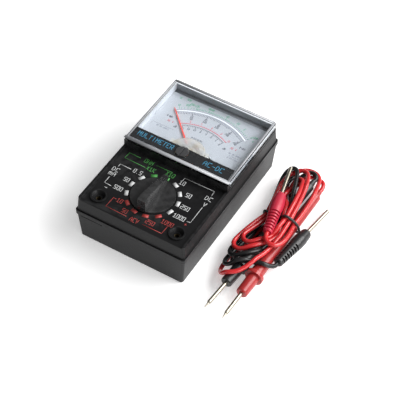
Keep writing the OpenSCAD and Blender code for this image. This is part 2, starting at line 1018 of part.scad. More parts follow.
module red_cord() {
    color([0.8, 0.12, 0.14]) {
        tube(smooth(red_route, 2), cord_d / 2);
        tube(smooth(red_tail_route, 2), cord_d / 2);
    }
}

module black_cord() {
    color([0.1, 0.1, 0.11]) {
        tube(smooth(black_route, 2), cord_d / 2);
        tube(smooth(black_tail_route, 2), cord_d / 2);
    }
}

// The folded part of a lead, as the outline that its turns fill
module hank(line, r, low, high) {
    for (i = [0 : len(line) - 2])
        hull()
            for (end = [line[i], line[i + 1]])
                translate([end[0], end[1], low])
                    cylinder(r = r[i], h = high - low, $fn = 32);
}

module red_hank() {
    color([0.8, 0.12, 0.14])
        hank(red_hank_line, [5, 5, 6.4], 2, 12);
}

module black_hank() {
    color([0.1, 0.1, 0.11])
        hank(black_hank_line, [5, 5.6, 6.2], 0, 9);
}

// Short tie wound once round the waist of the bundle
module lead_tie() {
    color([0.07, 0.07, 0.08])
        translate([51.7, 8, tie_top_z])
            rotate([90 + tie_lean, 0, 0])
                linear_extrude(1.3, center = true)
                    translate([0, -tie_h / 2])
                        difference() {
                            rounded_rect(tie_w, tie_h, 5.5);
                            rounded_rect(tie_w - 2.4, tie_h - 2.4, 4.3);
                        }
}

rear_cover();
front_case();
window_cover();
band_label();
zero_adjust_screw();
zero_adjust_clip();
zero_arm();
dial_plate();
dial_screws();
pointer();
moving_coil();
coil_staff();
upper_hairspring();
lower_hairspring();
core_magnet();
core_spacers();
yoke_ring();
movement_frame();
movement_screws();
upper_bridge();
upper_jewel_screw();
lower_jewel_screw();
circuit_board();
board_screws();
switch_contacts();
selector_knob();
wiper_carrier();
carrier_screw();
wiper_springs();
detent_ball();
detent_spring();
jack_socket_negative();
jack_socket_positive();
ohm_adjust_wheel();
ohm_pot_base();
battery_cell();
battery_spring();
battery_contact();
fuse_glass();
fuse_caps();
fuse_clips();
resistor_bodies();
resistor_leads();
rectifier_diodes();
trim_pot();
case_screws();
red_plug_body();
red_plug_pin();
black_plug_body();
black_plug_pin();
red_probe_body();
red_probe_rod();
black_probe_body();
black_probe_rod();
red_cord();
black_cord();
red_hank();
black_hank();
lead_tie();
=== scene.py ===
# %% [markdown]
# # A pocket analog multimeter, in cells
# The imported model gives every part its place. Each step below takes one piece or one finish of the real
# meter, says how it could be made, and then makes it around that fixed frame. The heights and outlines of
# new pieces are named values in millimetres, which agree with the parts of the frame that they lie on.

# %% Load the frame
import math

import bmesh
import bpy
import numpy as np
from mathutils import Euler, Matrix, Vector


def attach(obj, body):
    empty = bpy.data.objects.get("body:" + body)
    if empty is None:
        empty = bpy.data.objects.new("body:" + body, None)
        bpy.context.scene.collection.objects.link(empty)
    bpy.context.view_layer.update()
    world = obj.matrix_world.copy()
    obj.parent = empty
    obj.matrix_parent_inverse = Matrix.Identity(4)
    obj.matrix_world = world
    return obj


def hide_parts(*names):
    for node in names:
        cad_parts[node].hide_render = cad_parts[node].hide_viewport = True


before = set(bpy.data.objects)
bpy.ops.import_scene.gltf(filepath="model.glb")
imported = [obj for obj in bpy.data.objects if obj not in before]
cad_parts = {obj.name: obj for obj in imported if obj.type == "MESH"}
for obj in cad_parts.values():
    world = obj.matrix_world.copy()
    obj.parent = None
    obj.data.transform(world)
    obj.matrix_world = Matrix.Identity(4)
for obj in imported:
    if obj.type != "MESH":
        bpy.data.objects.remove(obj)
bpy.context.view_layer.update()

MM = 0.001

# %% [markdown]
# A few small helpers come first. Operators act on whatever is selected, so `only` clears the selection and
# then picks one object. `point` turns millimetres, which is how a draughtsman thinks of a pocket meter,
# into the metres that the frame uses.

# %% Small helpers


def point(x, y, z):
    return Vector((x, y, z)) * MM


def only(piece):
    """Select one object and make it the active one."""
    for other in list(bpy.context.selected_objects):
        other.select_set(False)
    piece.select_set(True)
    bpy.context.view_layer.objects.active = piece
    return piece


# %% [markdown]
# ## The camera
# The camera looks down on the meter from the front right. Its place is a point on a sphere round a spot of
# the table under the meter, given as a turn and a rise, and a slight roll tips the horizon. A long lens
# from far away keeps the box nearly free of perspective, as in a catalogue.

# %% Camera
VIEW_TURN = math.radians(29.92)
VIEW_RISE = math.radians(49.39)
VIEW_ROLL = math.radians(1.37)
VIEW_DISTANCE = 650.7 * MM
VIEW_TARGET = point(9.06, 4.8, 0)
VIEW_LENS = 119.13
upright = Euler((math.pi / 2 - VIEW_RISE, 0, VIEW_TURN)).to_matrix()
lens_axis = upright @ Vector((0, 0, 1))
bpy.ops.object.camera_add(
    location=VIEW_TARGET + lens_axis * VIEW_DISTANCE,
    rotation=(upright @ Matrix.Rotation(VIEW_ROLL, 3, "Z")).to_euler(),
)
camera = bpy.context.object
camera.data.lens = VIEW_LENS
camera.data.clip_start = 0.01
camera.data.clip_end = 20
bpy.context.scene.camera = camera
print("camera stands", round(camera.location.length, 3), "m from the meter")

# %% [markdown]
# ## The test leads
# Each lead is a limp cord 2.2 mm thick, folded to and fro along its probe and tied once round the waist. A
# real bundle gets its shape from being pressed together by hand, so the route is made in two steps. First
# each fold is written down, in millimetres, as the places it passes through. Then a small settling
# loop pushes strands apart where they would pass through each other, a probe or the table, keeps each
# cord's length, and rounds off tight bends. It uses no random numbers, so it always gives the same bundle.

# %% Routes of the two cords, fold by fold
CORD_D = 2.2
RED_OUT = [(51.4, -4.6, 12), (52.2, -8.2, 12.1), (54.2, -10.9, 12), (57.4, -10.9, 11.7), (59.9, -7.6, 11),
           (60.5, -2.5, 9.8), (59.8, 2.5, 9.2)]
RED_FOLDS = [
    (59.5, 10, 8.6), (58.8, 18, 8), (58.3, 27, 7), (57.2, 35, 6), (55.5, 41, 5.4), (52.9, 45.3, 5),
    (49.5, 47.4, 5), (45.2, 46.4, 5), (41.8, 42.6, 5), (41.4, 38, 5), (42.3, 33, 5), (44.4, 27.7, 5.2),
    (47.4, 19.5, 7),
    (51.6, 11, 10.2), (53, 5, 10.4), (53.4, -1, 9.4), (53, -7, 8.2), (50, -13, 7.6), (46.2, -16.8, 7.4),
    (42, -18.6, 7.2), (38.9, -17.8, 7), (38.2, -14.2, 6.8), (39.7, -9, 6.6), (41.6, -3, 6.8), (43, 8, 7),
    (42.8, 15, 7), (41.8, 23, 7), (41.4, 30, 7.2), (41.4, 37, 7.8), (43, 41.9, 8.2), (46.8, 43.6, 8.4),
    (50, 41.2, 8.4), (51.6, 36.5, 8.8), (53.2, 29.7, 9.6), (55.2, 20, 10.4), (56.4, 10, 10.8),
    (56.8, 3, 10.2), (56.5, -8.3, 9.4), (55.8, -16, 9.4), (54, -23, 9.8), (51.5, -29.4, 9.8),
    (48, -33.6, 8.4), (43.8, -34.2, 6), (40.4, -31.6, 3.4), (39.4, -27, 2), (40.4, -19.7, 1.5),
    (41.5, -12, 1.4), (43, -5, 1.8), (45, 8, 2.2), (45.3, 18, 2.6), (44.6, 26, 3), (43.9, 32, 4),
    (45.2, 36.6, 6), (48.2, 37.8, 8.2), (50.4, 34.6, 9.6), (51.8, 29, 10.6), (53.2, 20, 11.8),
    (54.3, 9, 11.8), (53.9, 1, 11), (51.6, -5.4, 9.6), (48.4, -10.4, 8.9), (44.6, -13.4, 8.6),
    (41.2, -12.8, 8.4), (40.4, -9, 8), (42, -4, 8), (45.3, 8, 6.8), (45.6, 15, 7), (46, 22, 7),
    (46.3, 30, 6), (47, 38, 5.4), (49.2, 43.4, 5.2), (53, 45.6, 4.8), (56.6, 44.8, 4.2)]
RED_IN = [(58.3, 42.2, 3.6), (57.7, 37.9, 3)]
BLACK_OUT = [(62.4, -14.2, 6), (62.1, -17.6, 6.6), (60.3, -20.3, 8.2), (57.2, -20.9, 9.4), (54.2, -20.4, 8)]
BLACK_FOLDS = [
    (51.6, -20.6, 8), (48.6, -24.2, 9.6), (45, -28, 8), (41.4, -29, 6), (39.6, -26, 4.8),
    (39.6, -19.5, 3.8), (41.2, -12, 3.8), (42.6, -5, 4), (42.8, 8, 3.2), (41.8, 17, 3.4), (40.2, 26, 4),
    (39, 31, 4.8), (38.2, 36.5, 5.6), (39.4, 41, 6.6), (42.6, 41.6, 8.4), (45, 38.4, 9.8), (46.7, 33.5, 9.8),
    (49, 27, 9.8), (51.4, 18.5, 9.4), (54.5, 9, 8.2), (54.5, 0, 7.8), (54, -6, 6.6), (52, -13.8, 6.8),
    (48, -20.4, 7), (44, -23.4, 6.8), (40.6, -22.8, 6.2), (39, -18.4, 5.6), (39.8, -10, 5.2),
    (42.6, 0, 5), (44.5, 8, 4.8), (44, 18, 5), (43, 28, 5.2), (42.4, 34, 5.6), (43, 38.8, 6),
    (45.7, 41.2, 5.6), (48.8, 39.8, 4.4), (50, 35.8, 3.2), (50.6, 29, 2.4), (51.6, 20, 1.7), (53.6, 8, 1.4),
    (53.3, 0, 1.2), (52.4, -8, 1.3), (50.4, -17, 1.3), (46.6, -22.8, 1.3), (42.8, -23.8, 1.4),
    (41.4, -19.6, 1.4), (42.6, -12, 1.3), (44.8, -4, 1.4), (47.3, 8, 2), (47.2, 18, 1.4), (46, 28, 1.8)]
BLACK_IN = [(44.8, 36, 3), (45.4, 41.6, 4.4), (48.4, 45, 5.6), (51.6, 45.4, 6.2), (53.7, 43, 6.4),
            (53.2, 39.7, 6.4)]
print(len(RED_FOLDS), "points fold the red cord and", len(BLACK_FOLDS), "the black one")

# %% [markdown]
# The hard things in the bundle are the two plugs and the two probes. Each is a stack of round sections
# along a straight axis, and the frame already holds their shapes, so their axes are repeated from the
# design and their radii are measured from the frame's own meshes.

# %% The plugs and probes as obstacles
LEAD_LINES = {
    "red_plug_body": ((40.7, 39.2, 10), (51.4, -4.6, 12)),
    "black_plug_body": ((66.4, 30.9, 1.3), (62.4, -14.2, 6)),
    "red_probe_body": ((56.4, -55, 6.5), (57.7, 37.9, 3)),
    "black_probe_body": ((46, -53, 4.9), (53.2, 39.7, 6.4)),
}
SECTION_STEP = 0.75


def sections(node):
    """The radius of a round node at each step along its axis, in millimetres."""
    start, end = (np.array(p, float) for p in LEAD_LINES[node])
    axis = (end - start) / np.linalg.norm(end - start)
    corners = np.array([v.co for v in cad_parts[node].data.vertices], float) / MM - start
    along = corners @ axis
    reach = np.linalg.norm(corners - np.outer(along, axis), axis=1)
    places = np.arange(along.min(), along.max() + SECTION_STEP, SECTION_STEP)
    order = np.argsort(along)
    widest = []
    for place in places:
        near = np.abs(along - place) < SECTION_STEP
        widest.append(reach[near].max() if near.any() else np.interp(place, along[order], reach[order]))
    return start, axis, places, np.array(widest)


OBSTACLES = {node: sections(node) for node in LEAD_LINES}
for node, (_, _, places, widest) in OBSTACLES.items():
    print(node, "is", round(places[-1] - places[0], 1), "mm long and", round(2 * widest.max(), 1), "mm thick")

# %% [markdown]
# One loop of thin wire holds the bundle together. It runs flat on the table under both probes, up beside
# them, and over the strands but under the red plug, which was pushed in last. The loop leans towards the
# dial end below. Its points are given as a width and a height in that leaning plane, like a belt's
# hole marks.

# %% The tie's line
TIE_D = 1.3
TIE_LEAN = math.tan(math.radians(14))
TIE_TOP = 12.8
TIE_Y = 8
TIE_MARKS = [(46, 0.8), (51.5, 0.7), (57.5, 0.8), (60.4, 2), (61, 4.6), (60.7, 7.6), (59.6, 10), (57.2, 12.2),
             (54.2, 13), (51.4, 10.4), (49.2, 8.2), (46.8, 8), (44.4, 9), (42.6, 8.4), (41.9, 6), (42.3, 3.2),
             (43.4, 1.4)]
tie_marks = [(x, TIE_Y + (TIE_TOP - z) * TIE_LEAN, z) for x, z in TIE_MARKS]
print("the tie goes through", len(tie_marks), "marks")

# %% [markdown]
# Two helpers turn listed marks into lines. The first draws a smooth curve through all the marks, which
# a designer knows as a Catmull-Rom spline. The second walks along a line in equal steps, so that the
# settling below treats every part of a cord alike.

# %% Lines through marks


def curve_through(points, steps):
    """A smooth line through listed points."""
    p = np.array([points[0], *points, points[-1]], float)
    line = []
    for i in range(1, len(p) - 2):
        for t in np.arange(steps) / steps:
            a, b, c, d = p[i - 1], p[i], p[i + 1], p[i + 2]
            line.append(0.5 * (2 * b + (c - a) * t + (2 * a - 5 * b + 4 * c - d) * t * t
                               + (3 * b - a - 3 * c + d) * t ** 3))
    return np.array([*line, p[-1]])


def evenly(line, step):
    along = np.concatenate([[0], np.cumsum(np.linalg.norm(np.diff(line, axis=0), axis=1))])
    at = np.linspace(0, along[-1], round(along[-1] / step) + 1)
    return np.stack([np.interp(at, along, line[:, k]) for k in range(3)], axis=1)


def length_of(line):
    return float(np.linalg.norm(np.diff(line, axis=0), axis=1).sum())


STRAND_STEP = 1.5
red_guess = evenly(curve_through([*RED_OUT, *RED_FOLDS, *RED_IN], 8), STRAND_STEP)
black_guess = evenly(curve_through([*BLACK_OUT, *BLACK_FOLDS, *BLACK_IN], 8), STRAND_STEP)
tie_line = evenly(curve_through([*tie_marks, *tie_marks[:3]], 8), 0.6)
print("as laid by hand: red", round(length_of(red_guess)), "mm, black", round(length_of(black_guess)), "mm")

# %% [markdown]
# A strand may not enter the tie, a plug or a probe, and it may not bend tighter than its plastic allows.
# Each rule is a small function that moves the points that break it half of the way out. Half a step is
# enough, because the rules are applied again and again, and a full step would make them fight each other.

# %% Rules for a strand
SLACK = 0.05
HALF_WAY = 0.5
TIE_MIDDLE_Y, TIE_SPREAD = 9.5, 6
TIGHTEST_BEND = 4.9
SHARPEST_KINK = STRAND_STEP ** 2 / (2 * TIGHTEST_BEND)


def clear_of_tie(points, tie_line, held):
    """Keep strands off the tie's wire, on the side where they already are."""
    near = np.nonzero((np.abs(points[:, 1] - TIE_MIDDLE_Y) < TIE_SPREAD) & ~held)[0]
    gap = points[near, None] - tie_line[None]
    apart = np.linalg.norm(gap, axis=2)
    closest = apart.argmin(axis=1)
    size = apart[np.arange(len(near)), closest]
    short = np.clip((CORD_D + TIE_D) / 2 + SLACK - size, 0, None)
    points[near] += gap[np.arange(len(near)), closest] * (short / (size + 1e-9))[:, None] * HALF_WAY


def clear_of_obstacles(points, held):
    """Keep strands out of the plugs and probes."""
    for start, axis, places, widest in OBSTACLES.values():
        along = (points - start) @ axis
        foot = start + np.outer(along, axis)
        out = points - foot
        away = np.linalg.norm(out, axis=1)
        need = np.interp(along, places, widest, left=0, right=0) + CORD_D / 2 + SLACK
        need[(along < places[0]) | (along > places[-1])] = 0
        short = (need - away > 0) & ~held
        points[short] += (out[short] / away[short, None]) * (need - away)[short, None] * HALF_WAY


def open_up(line, free, reach):
    """Widen any bend that is tighter than the cord can take, seen over a few points."""
    bend = np.zeros_like(line)
    bend[reach:-reach] = (line[:-2 * reach] + line[2 * reach:]) / 2 - line[reach:-reach]
    kink = np.linalg.norm(bend, axis=1)[:, None]
    relief = bend * np.clip(kink - SHARPEST_KINK * reach ** 2, 0, None) / (kink + 1e-9) * HALF_WAY
    move = relief.copy()
    move[reach:] -= relief[:-reach] / 2
    move[:-reach] -= relief[reach:] / 2
    line += move * free


print("bends under", TIGHTEST_BEND, "mm are opened up wherever there is room")

# %% [markdown]
# The settling loop is a small relaxation. In each round, strands that overlap push each other apart, bends
# are smoothed a little, every step of a cord gets its own length back, and the rules above are applied. All
# but the last rounds also pull each point softly back to where it was laid, which keeps the folds in their
# order. A rope simulation could do the same, but it is slower, and it may lose the folds' order.

# %% Settling the bundle
SETTLE_ROUNDS, LAST_ROUNDS = 420, 60
STRAND_GAP = CORD_D + 0.06
ENDS_HELD = 2
SAME_STRETCH = 5
PUSH, LARGEST_PUSH = 0.4, 0.6
PULL_BACK = 0.02
STIFFNESS = 0.15
BEND_REACHES = (2, 1, 1)
TABLE_GAP = 0.02


def push_apart(points, neighbours, free):
    gap = points[:, None] - points[None]
    apart = np.sqrt((gap ** 2).sum(2)) + 1e-9
    push = np.clip(STRAND_GAP - apart, 0, None)
    push[neighbours] = 0
    move = (gap / apart[..., None] * push[..., None]).sum(1) * PUSH
    points += np.clip(move, -LARGEST_PUSH, LARGEST_PUSH) * free


def keep_length(line, length, free):
    """Smooth the bends a little, then give each step its own length back."""
    bend = np.zeros_like(line)
    bend[2:-2] = (line[1:-3] + line[3:-1]) / 2 - line[2:-2]
    line += bend * STIFFNESS * free
    step = line[1:] - line[:-1]
    size = np.linalg.norm(step, axis=1)
    fix = step * ((size - length) / size)[:, None] * HALF_WAY
    line[:-1] += fix * free[:-1]
    line[1:] -= fix * free[1:]


def settle(lines, tie_line):
    """Push the strands apart, keep their lengths and round their bends."""
    sizes = [len(line) for line in lines]
    points = np.concatenate(lines)
    first_guess = points.copy()
    ends = np.cumsum([0, *sizes])
    cords = [slice(low, high) for low, high in zip(ends[:-1], ends[1:])]
    spacing = [np.linalg.norm(np.diff(line, axis=0), axis=1) for line in lines]
    held = np.zeros(len(points), bool)
    for cord in cords:
        held[cord.start:cord.start + ENDS_HELD] = True
        held[cord.stop - ENDS_HELD:cord.stop] = True
    free = np.where(held, 0.0, 1.0)[:, None]
    cord_of = np.repeat(np.arange(len(lines)), sizes)
    place = np.arange(len(points))
    neighbours = (cord_of[:, None] == cord_of[None]) & (np.abs(place[:, None] - place[None]) < SAME_STRETCH)
    for turn in range(SETTLE_ROUNDS):
        push_apart(points, neighbours, free)
        if turn < SETTLE_ROUNDS - LAST_ROUNDS:
            points += (first_guess - points) * PULL_BACK * free
        for cord, length in zip(cords, spacing):
            keep_length(points[cord], length, free[cord])
        clear_of_obstacles(points, held)
        clear_of_tie(points, tie_line, held)
        for cord in cords:
            for reach in BEND_REACHES:
                open_up(points[cord], free[cord], reach)
        points[:, 2] = np.maximum(points[:, 2], CORD_D / 2 + TABLE_GAP)
    return [points[cord] for cord in cords]


red_line, black_line = settle([red_guess, black_guess], tie_line)
print("settled: red", round(length_of(red_line)), "mm, black", round(length_of(black_line)), "mm")

# %% [markdown]
# A cord is a round wire: one open spline with a round section. It could be a mesh tube, but a curve keeps
# its centre line, so its length can still be measured. The tie is the same kind of wire in a closed loop.
# It is no free cord but an ordinary piece, so it is made a mesh at once.

# %% Round wires


def wire(name, line, thick, rounds, closed=False):
    """One spline with a round section, through points in millimetres."""
    bpy.ops.curve.primitive_nurbs_path_add(location=(0, 0, 0))
    piece = only(bpy.context.object)
    piece.name = name
    piece.data.splines.clear()
    spline = piece.data.splines.new("POLY")
    spline.points.add(len(line) - 1)
    spline.points.foreach_set("co", np.hstack([line * MM, np.ones((len(line), 1))]).ravel())
    spline.points.foreach_set("radius", np.full(len(line), MM))
    spline.use_smooth = True
    spline.use_cyclic_u = closed
    piece.data.dimensions = "3D"
    piece.data.bevel_depth = thick / 2
    piece.data.bevel_resolution = rounds
    print(name, "has", len(line), "points")
    return piece


# %% The two cords and the tie
red_cord = wire("red_lead_cord", curve_through(red_line, 2), CORD_D, 4)
black_cord = wire("black_lead_cord", curve_through(black_line, 2), CORD_D, 4)
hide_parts("red_cord", "red_hank")
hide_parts("black_cord", "black_hank")
tie = wire("bundle_tie", curve_through([*tie_marks, *tie_marks[:1]], 5)[:-1], TIE_D, 2, closed=True)
bpy.ops.object.convert(target="MESH")
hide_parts("lead_tie")
print("the tie is", len(tie.data.polygons), "faces")

# %% [markdown]
# ## Finishes
# Moulded plastic is never one flat colour. Under a soft light it shows a fine spark-eroded texture from the
# mould, slow clouds where the melt flowed, and edges that handling has rubbed smoother, which are lightened
# here as well as a painted highlight. These three effects come back in almost every finish here, so each is a
# shader node group that is built once and given its own values in each material. A group only hands out
# masks, colours and heights.

# %% Node helpers


def new_group(name, inputs, outputs):
    group = bpy.data.node_groups.new(name, "ShaderNodeTree")
    for label, kind, value in inputs:
        socket = group.interface.new_socket(label, in_out="INPUT", socket_type=kind)
        if value is not None:
            socket.default_value = value
    for label, kind in outputs:
        group.interface.new_socket(label, in_out="OUTPUT", socket_type=kind)
    ends = group.nodes.new("NodeGroupInput"), group.nodes.new("NodeGroupOutput")
    return group, ends[0].outputs, ends[1].inputs


def link(tree, source, target):
    """Wire a socket, or set it where the source is a plain value."""
    if isinstance(source, bpy.types.NodeSocket):
        tree.links.new(source, target)
    else:
        target.default_value = source


def node(tree, kind, inputs=(), **settings):
    made = tree.nodes.new(kind)
    for key, value in settings.items():
        setattr(made, key, value)
    for key, value in dict(inputs).items():
        link(tree, value, made.inputs[key])
    return made


def ramp(tree, source, low, high, out_low=0.0, out_high=1.0):
    """A value stretched from one range to another and held inside it."""
    made = node(tree, "ShaderNodeMapRange", {"Value": source, "From Min": low, "From Max": high,
                                             "To Min": out_low, "To Max": out_high})
    return made.outputs["Result"]


def blend_colour(tree, mask, first, second):
    made = node(tree, "ShaderNodeMix", data_type="RGBA")
    link(tree, mask, made.inputs[0])
    link(tree, first, made.inputs[6])
    link(tree, second, made.inputs[7])
    return made.outputs[2]


def sums(tree, operation, first, second):
    made = node(tree, "ShaderNodeMath", operation=operation)
    link(tree, first, made.inputs[0])
    link(tree, second, made.inputs[1])
    return made.outputs[0]


# %% [markdown]
# The skin of a moulding is the mould's own surface in reverse: fine noise and small pits for the eroded
# steel, and a slow noise for the clouds. It gives out a height and a mask, and no colour.

# %% Group: the skin of a moulding
SKIN, skin_in, skin_out = new_group(
    "moulded_skin",
    [("Vector", "NodeSocketVector", None), ("Grain", "NodeSocketFloat", 3000.0),
     ("Cloud", "NodeSocketFloat", 60.0)],
    [("Height", "NodeSocketFloat"), ("Clouds", "NodeSocketFloat")])
place, grain = skin_in["Vector"], skin_in["Grain"]
fine = node(SKIN, "ShaderNodeTexNoise", {"Vector": place, "Scale": grain, "Detail": 3.0})
pits = node(SKIN, "ShaderNodeTexVoronoi", {"Vector": place, "Scale": grain})
slow = node(SKIN, "ShaderNodeTexNoise", {"Vector": place, "Scale": skin_in["Cloud"], "Detail": 2.0})
link(SKIN, sums(SKIN, "ADD", fine.outputs["Fac"], pits.outputs["Distance"]), skin_out["Height"])
link(SKIN, ramp(SKIN, slow.outputs["Fac"], 0.3, 0.7), skin_out["Clouds"])
print(SKIN.name, "has", len(SKIN.nodes), "nodes")

# %% [markdown]
# Handling polishes what sticks out, and a rounded edge also catches a thin line of light. Blender measures
# how pointed the surface is at each corner of the mesh, and a patchy noise keeps the mark from looking like a
# drawn outline. The lighter edge that it gives is partly rubbed wear and partly a painted highlight.

# %% Group: edges rubbed by handling, with a painted edge highlight
RUB_AND_SHEEN, rub_sheen_in, rub_sheen_out = new_group(
    "rubbed_edges_and_sheen",
    [("Vector", "NodeSocketVector", None), ("Reach", "NodeSocketFloat", 0.06)],
    [("Mask", "NodeSocketFloat")])
shape = node(RUB_AND_SHEEN, "ShaderNodeNewGeometry")
patch = node(RUB_AND_SHEEN, "ShaderNodeTexNoise", {"Vector": rub_sheen_in["Vector"], "Scale": 350.0, "Detail": 3.0})
edge_line = ramp(RUB_AND_SHEEN, shape.outputs["Pointiness"], 0.52, sums(RUB_AND_SHEEN, "ADD", rub_sheen_in["Reach"], 0.52))
link(RUB_AND_SHEEN, sums(RUB_AND_SHEEN, "MULTIPLY", edge_line, ramp(RUB_AND_SHEEN, patch.outputs["Fac"], 0.35, 0.6)), rub_sheen_out["Mask"])
print(RUB_AND_SHEEN.name, "has", len(RUB_AND_SHEEN.nodes), "nodes")

# %% [markdown]
# Dust lies only on faces that look up, so its mask is the normal's height times a fleck noise.

# %% Group: fine dust that settles on faces that look up
DUST, dust_in, dust_out = new_group(
    "settled_dust", [("Vector", "NodeSocketVector", None), ("Amount", "NodeSocketFloat", 0.2)],
    [("Mask", "NodeSocketFloat")])
facing = node(DUST, "ShaderNodeSeparateXYZ", {0: node(DUST, "ShaderNodeNewGeometry").outputs["Normal"]})
lint = node(DUST, "ShaderNodeTexNoise", {"Vector": dust_in["Vector"], "Scale": 900.0, "Detail": 6.0,
                                         "Roughness": 0.8})
up = ramp(DUST, facing.outputs["Z"], 0.5, 1.0)
fleck = ramp(DUST, lint.outputs["Fac"], 0.62, 0.74)
link(DUST, sums(DUST, "MULTIPLY", sums(DUST, "MULTIPLY", up, fleck), dust_in["Amount"]), dust_out["Mask"])
print(DUST.name, "has", len(DUST.nodes), "nodes")

# %% [markdown]
# With the groups in hand, a plastic finish is a short recipe: its colour, how much the clouds lighten it,
# how rough it is, how deep the mould texture goes, and how much its edges are lightened by wear and by a
# painted highlight. Metals and inks get recipes of their own. Every number that is the same all over is set
# on the shader itself.

# %% A new material
ALL_FINISHES = {}


def new_material(name):
    """A material with its shader, and the place on the piece that its patterns read."""
    material = bpy.data.materials.new(name)
    material.use_nodes = True
    tree = material.node_tree
    shader = tree.nodes["Principled BSDF"]
    place = node(tree, "ShaderNodeTexCoord").outputs["Object"]
    ALL_FINISHES[name] = material
    return material, tree, shader, place


def grouped(tree, group, **inputs):
    made = node(tree, "ShaderNodeGroup")
    made.node_tree = group
    for key, value in inputs.items():
        link(tree, value, made.inputs[key])
    return made.outputs


# %% Recipe: moulded plastic


def plastic(name, colour, lift=1.25, rough=0.45, grain=3000.0, depth=0.02, wear_and_sheen=0.3, dust=0.0, **settings):
    material, tree, shader, place = new_material(name)
    skin = grouped(tree, SKIN, Vector=place, Grain=grain)
    tint = (*(min(1.0, c * lift + 0.002) for c in colour), 1)
    shade = blend_colour(tree, skin["Clouds"], (*colour, 1), tint)
    # Lighter edges: partly rubbed wear and partly a painted highlight along the rounded edges.
    rubbed_and_lit = grouped(tree, RUB_AND_SHEEN, Vector=place)["Mask"]
    shade = blend_colour(tree, sums(tree, "MULTIPLY", rubbed_and_lit, wear_and_sheen), shade,
                         (*(min(1.0, c * 1.8 + 0.03) for c in colour), 1))
    if dust:
        flecks = grouped(tree, DUST, Vector=place, Amount=dust)["Mask"]
        shade = blend_colour(tree, flecks, shade, (0.5, 0.5, 0.5, 1))
    link(tree, shade, shader.inputs["Base Color"])
    rougher = sums(tree, "ADD", sums(tree, "MULTIPLY", skin["Clouds"], 0.06), rough - 0.03)
    polished = sums(tree, "SUBTRACT", rougher, sums(tree, "MULTIPLY", rubbed_and_lit, 0.12))
    link(tree, polished, shader.inputs["Roughness"])
    relief = node(tree, "ShaderNodeBump", {"Height": skin["Height"], "Strength": 0.5, "Distance": depth * MM})
    link(tree, relief.outputs["Normal"], shader.inputs["Normal"])
    for key, value in settings.items():
        shader.inputs[key.replace("_", " ")].default_value = value


# %% [markdown]
# Bare metal has no skin or pits at this size, so its recipe needs one noise only. The same noise moves the
# colour and the gloss, because tarnish does both.

# %% Recipe: metal


def metal(name, colour, rough=0.25, streak=600.0, tarnish=0.25):
    material, tree, shader, place = new_material(name)
    spots = node(tree, "ShaderNodeTexNoise", {"Vector": place, "Scale": streak, "Detail": 5.0})
    dull = (*(c * 0.72 for c in colour), 1)
    film = ramp(tree, spots.outputs["Fac"], 0.4, 0.7, 0.0, tarnish)
    link(tree, blend_colour(tree, film, (*colour, 1), dull), shader.inputs["Base Color"])
    uneven = ramp(tree, spots.outputs["Fac"], 0.3, 0.7, rough - 0.06, rough + 0.08)
    link(tree, uneven, shader.inputs["Roughness"])
    shader.inputs["Metallic"].default_value = 1.0


# %% [markdown]
# Ink is printed through a woven screen, which leaves a faint weave in it. Its noise is so fine that it only
# shows as an uneven tone from near by.

# %% Recipe: printed ink


def ink(name, colour, rough=0.5, thin=0.12):
    """Screen-printed ink: a little uneven, with pinholes where the mesh of the screen printed thin."""
    material, tree, shader, place = new_material(name)
    weave = node(tree, "ShaderNodeTexNoise", {"Vector": place, "Scale": 2600.0, "Detail": 2.0})
    weak = ramp(tree, weave.outputs["Fac"], 0.52, 0.75, 0.0, thin)
    under = (*(c * 0.55 for c in colour), 1)
    link(tree, blend_colour(tree, weak, (*colour, 1), under), shader.inputs["Base Color"])
    uneven = ramp(tree, weave.outputs["Fac"], 0.3, 0.7, rough - 0.05, rough + 0.05)
    link(tree, uneven, shader.inputs["Roughness"])


# %% [markdown]
# The case and the knob are black polystyrene, the case matt from its mould texture and the knob smoother
# and rubbed by fingers; the knob's bright edges are more a painted highlight than wear. Inside are a phenolic
# board, lacquered resistors and a ferrite magnet. All are the same recipe with other numbers, since what
# differs is only colour, gloss and how much the edges are lightened.

# %% The meter's plastics
plastic("case_plastic", (0.0075, 0.0075, 0.008), lift=1.25, rough=0.38, grain=3400.0, depth=0.03, wear_and_sheen=0.45,
        dust=0.03, Specular_IOR_Level=0.2)
plastic("screw_plastic", (0.04, 0.04, 0.042), rough=0.4, grain=4200.0, depth=0.01, wear_and_sheen=0.3)
# On the knob the edge lightening is strong, mostly a painted highlight along its rounded edges.
plastic("knob_plastic", (0.014, 0.014, 0.0145), lift=1.15, rough=0.26, grain=4200.0, depth=0.01, wear_and_sheen=0.9,
        Specular_IOR_Level=0.5)
plastic("label_film", (0.02, 0.021, 0.023), lift=1.15, rough=0.33, grain=5000.0, depth=0.006, wear_and_sheen=0.0)
plastic("dial_enamel", (0.485, 0.5, 0.525), lift=1.04, rough=0.5, grain=2500.0, depth=0.004, wear_and_sheen=0.0)
plastic("cream_plastic", (0.72, 0.66, 0.48), rough=0.5, depth=0.02, wear_and_sheen=0.1)
plastic("pointer_paint", (0.82, 0.09, 0.06), rough=0.42, depth=0.003, wear_and_sheen=0.0)
plastic("trimmer_plastic", (0.05, 0.16, 0.4), rough=0.4, wear_and_sheen=0.1)
plastic("board_laminate", (0.34, 0.2, 0.07), lift=1.35, rough=0.45, grain=1800.0, depth=0.02, wear_and_sheen=0.0)
plastic("pot_wafer", (0.3, 0.22, 0.13), rough=0.5, wear_and_sheen=0.1)
plastic("cell_jacket", (0.03, 0.05, 0.16), rough=0.25, depth=0.004, wear_and_sheen=0.1)
plastic("resistor_lacquer", (0.62, 0.5, 0.32), rough=0.35, depth=0.01, wear_and_sheen=0.0)
plastic("diode_glass", (0.5, 0.16, 0.05), rough=0.1, depth=0.002, wear_and_sheen=0.0)
plastic("magnet_ferrite", (0.42, 0.38, 0.3), rough=0.6, depth=0.05, wear_and_sheen=0.1)
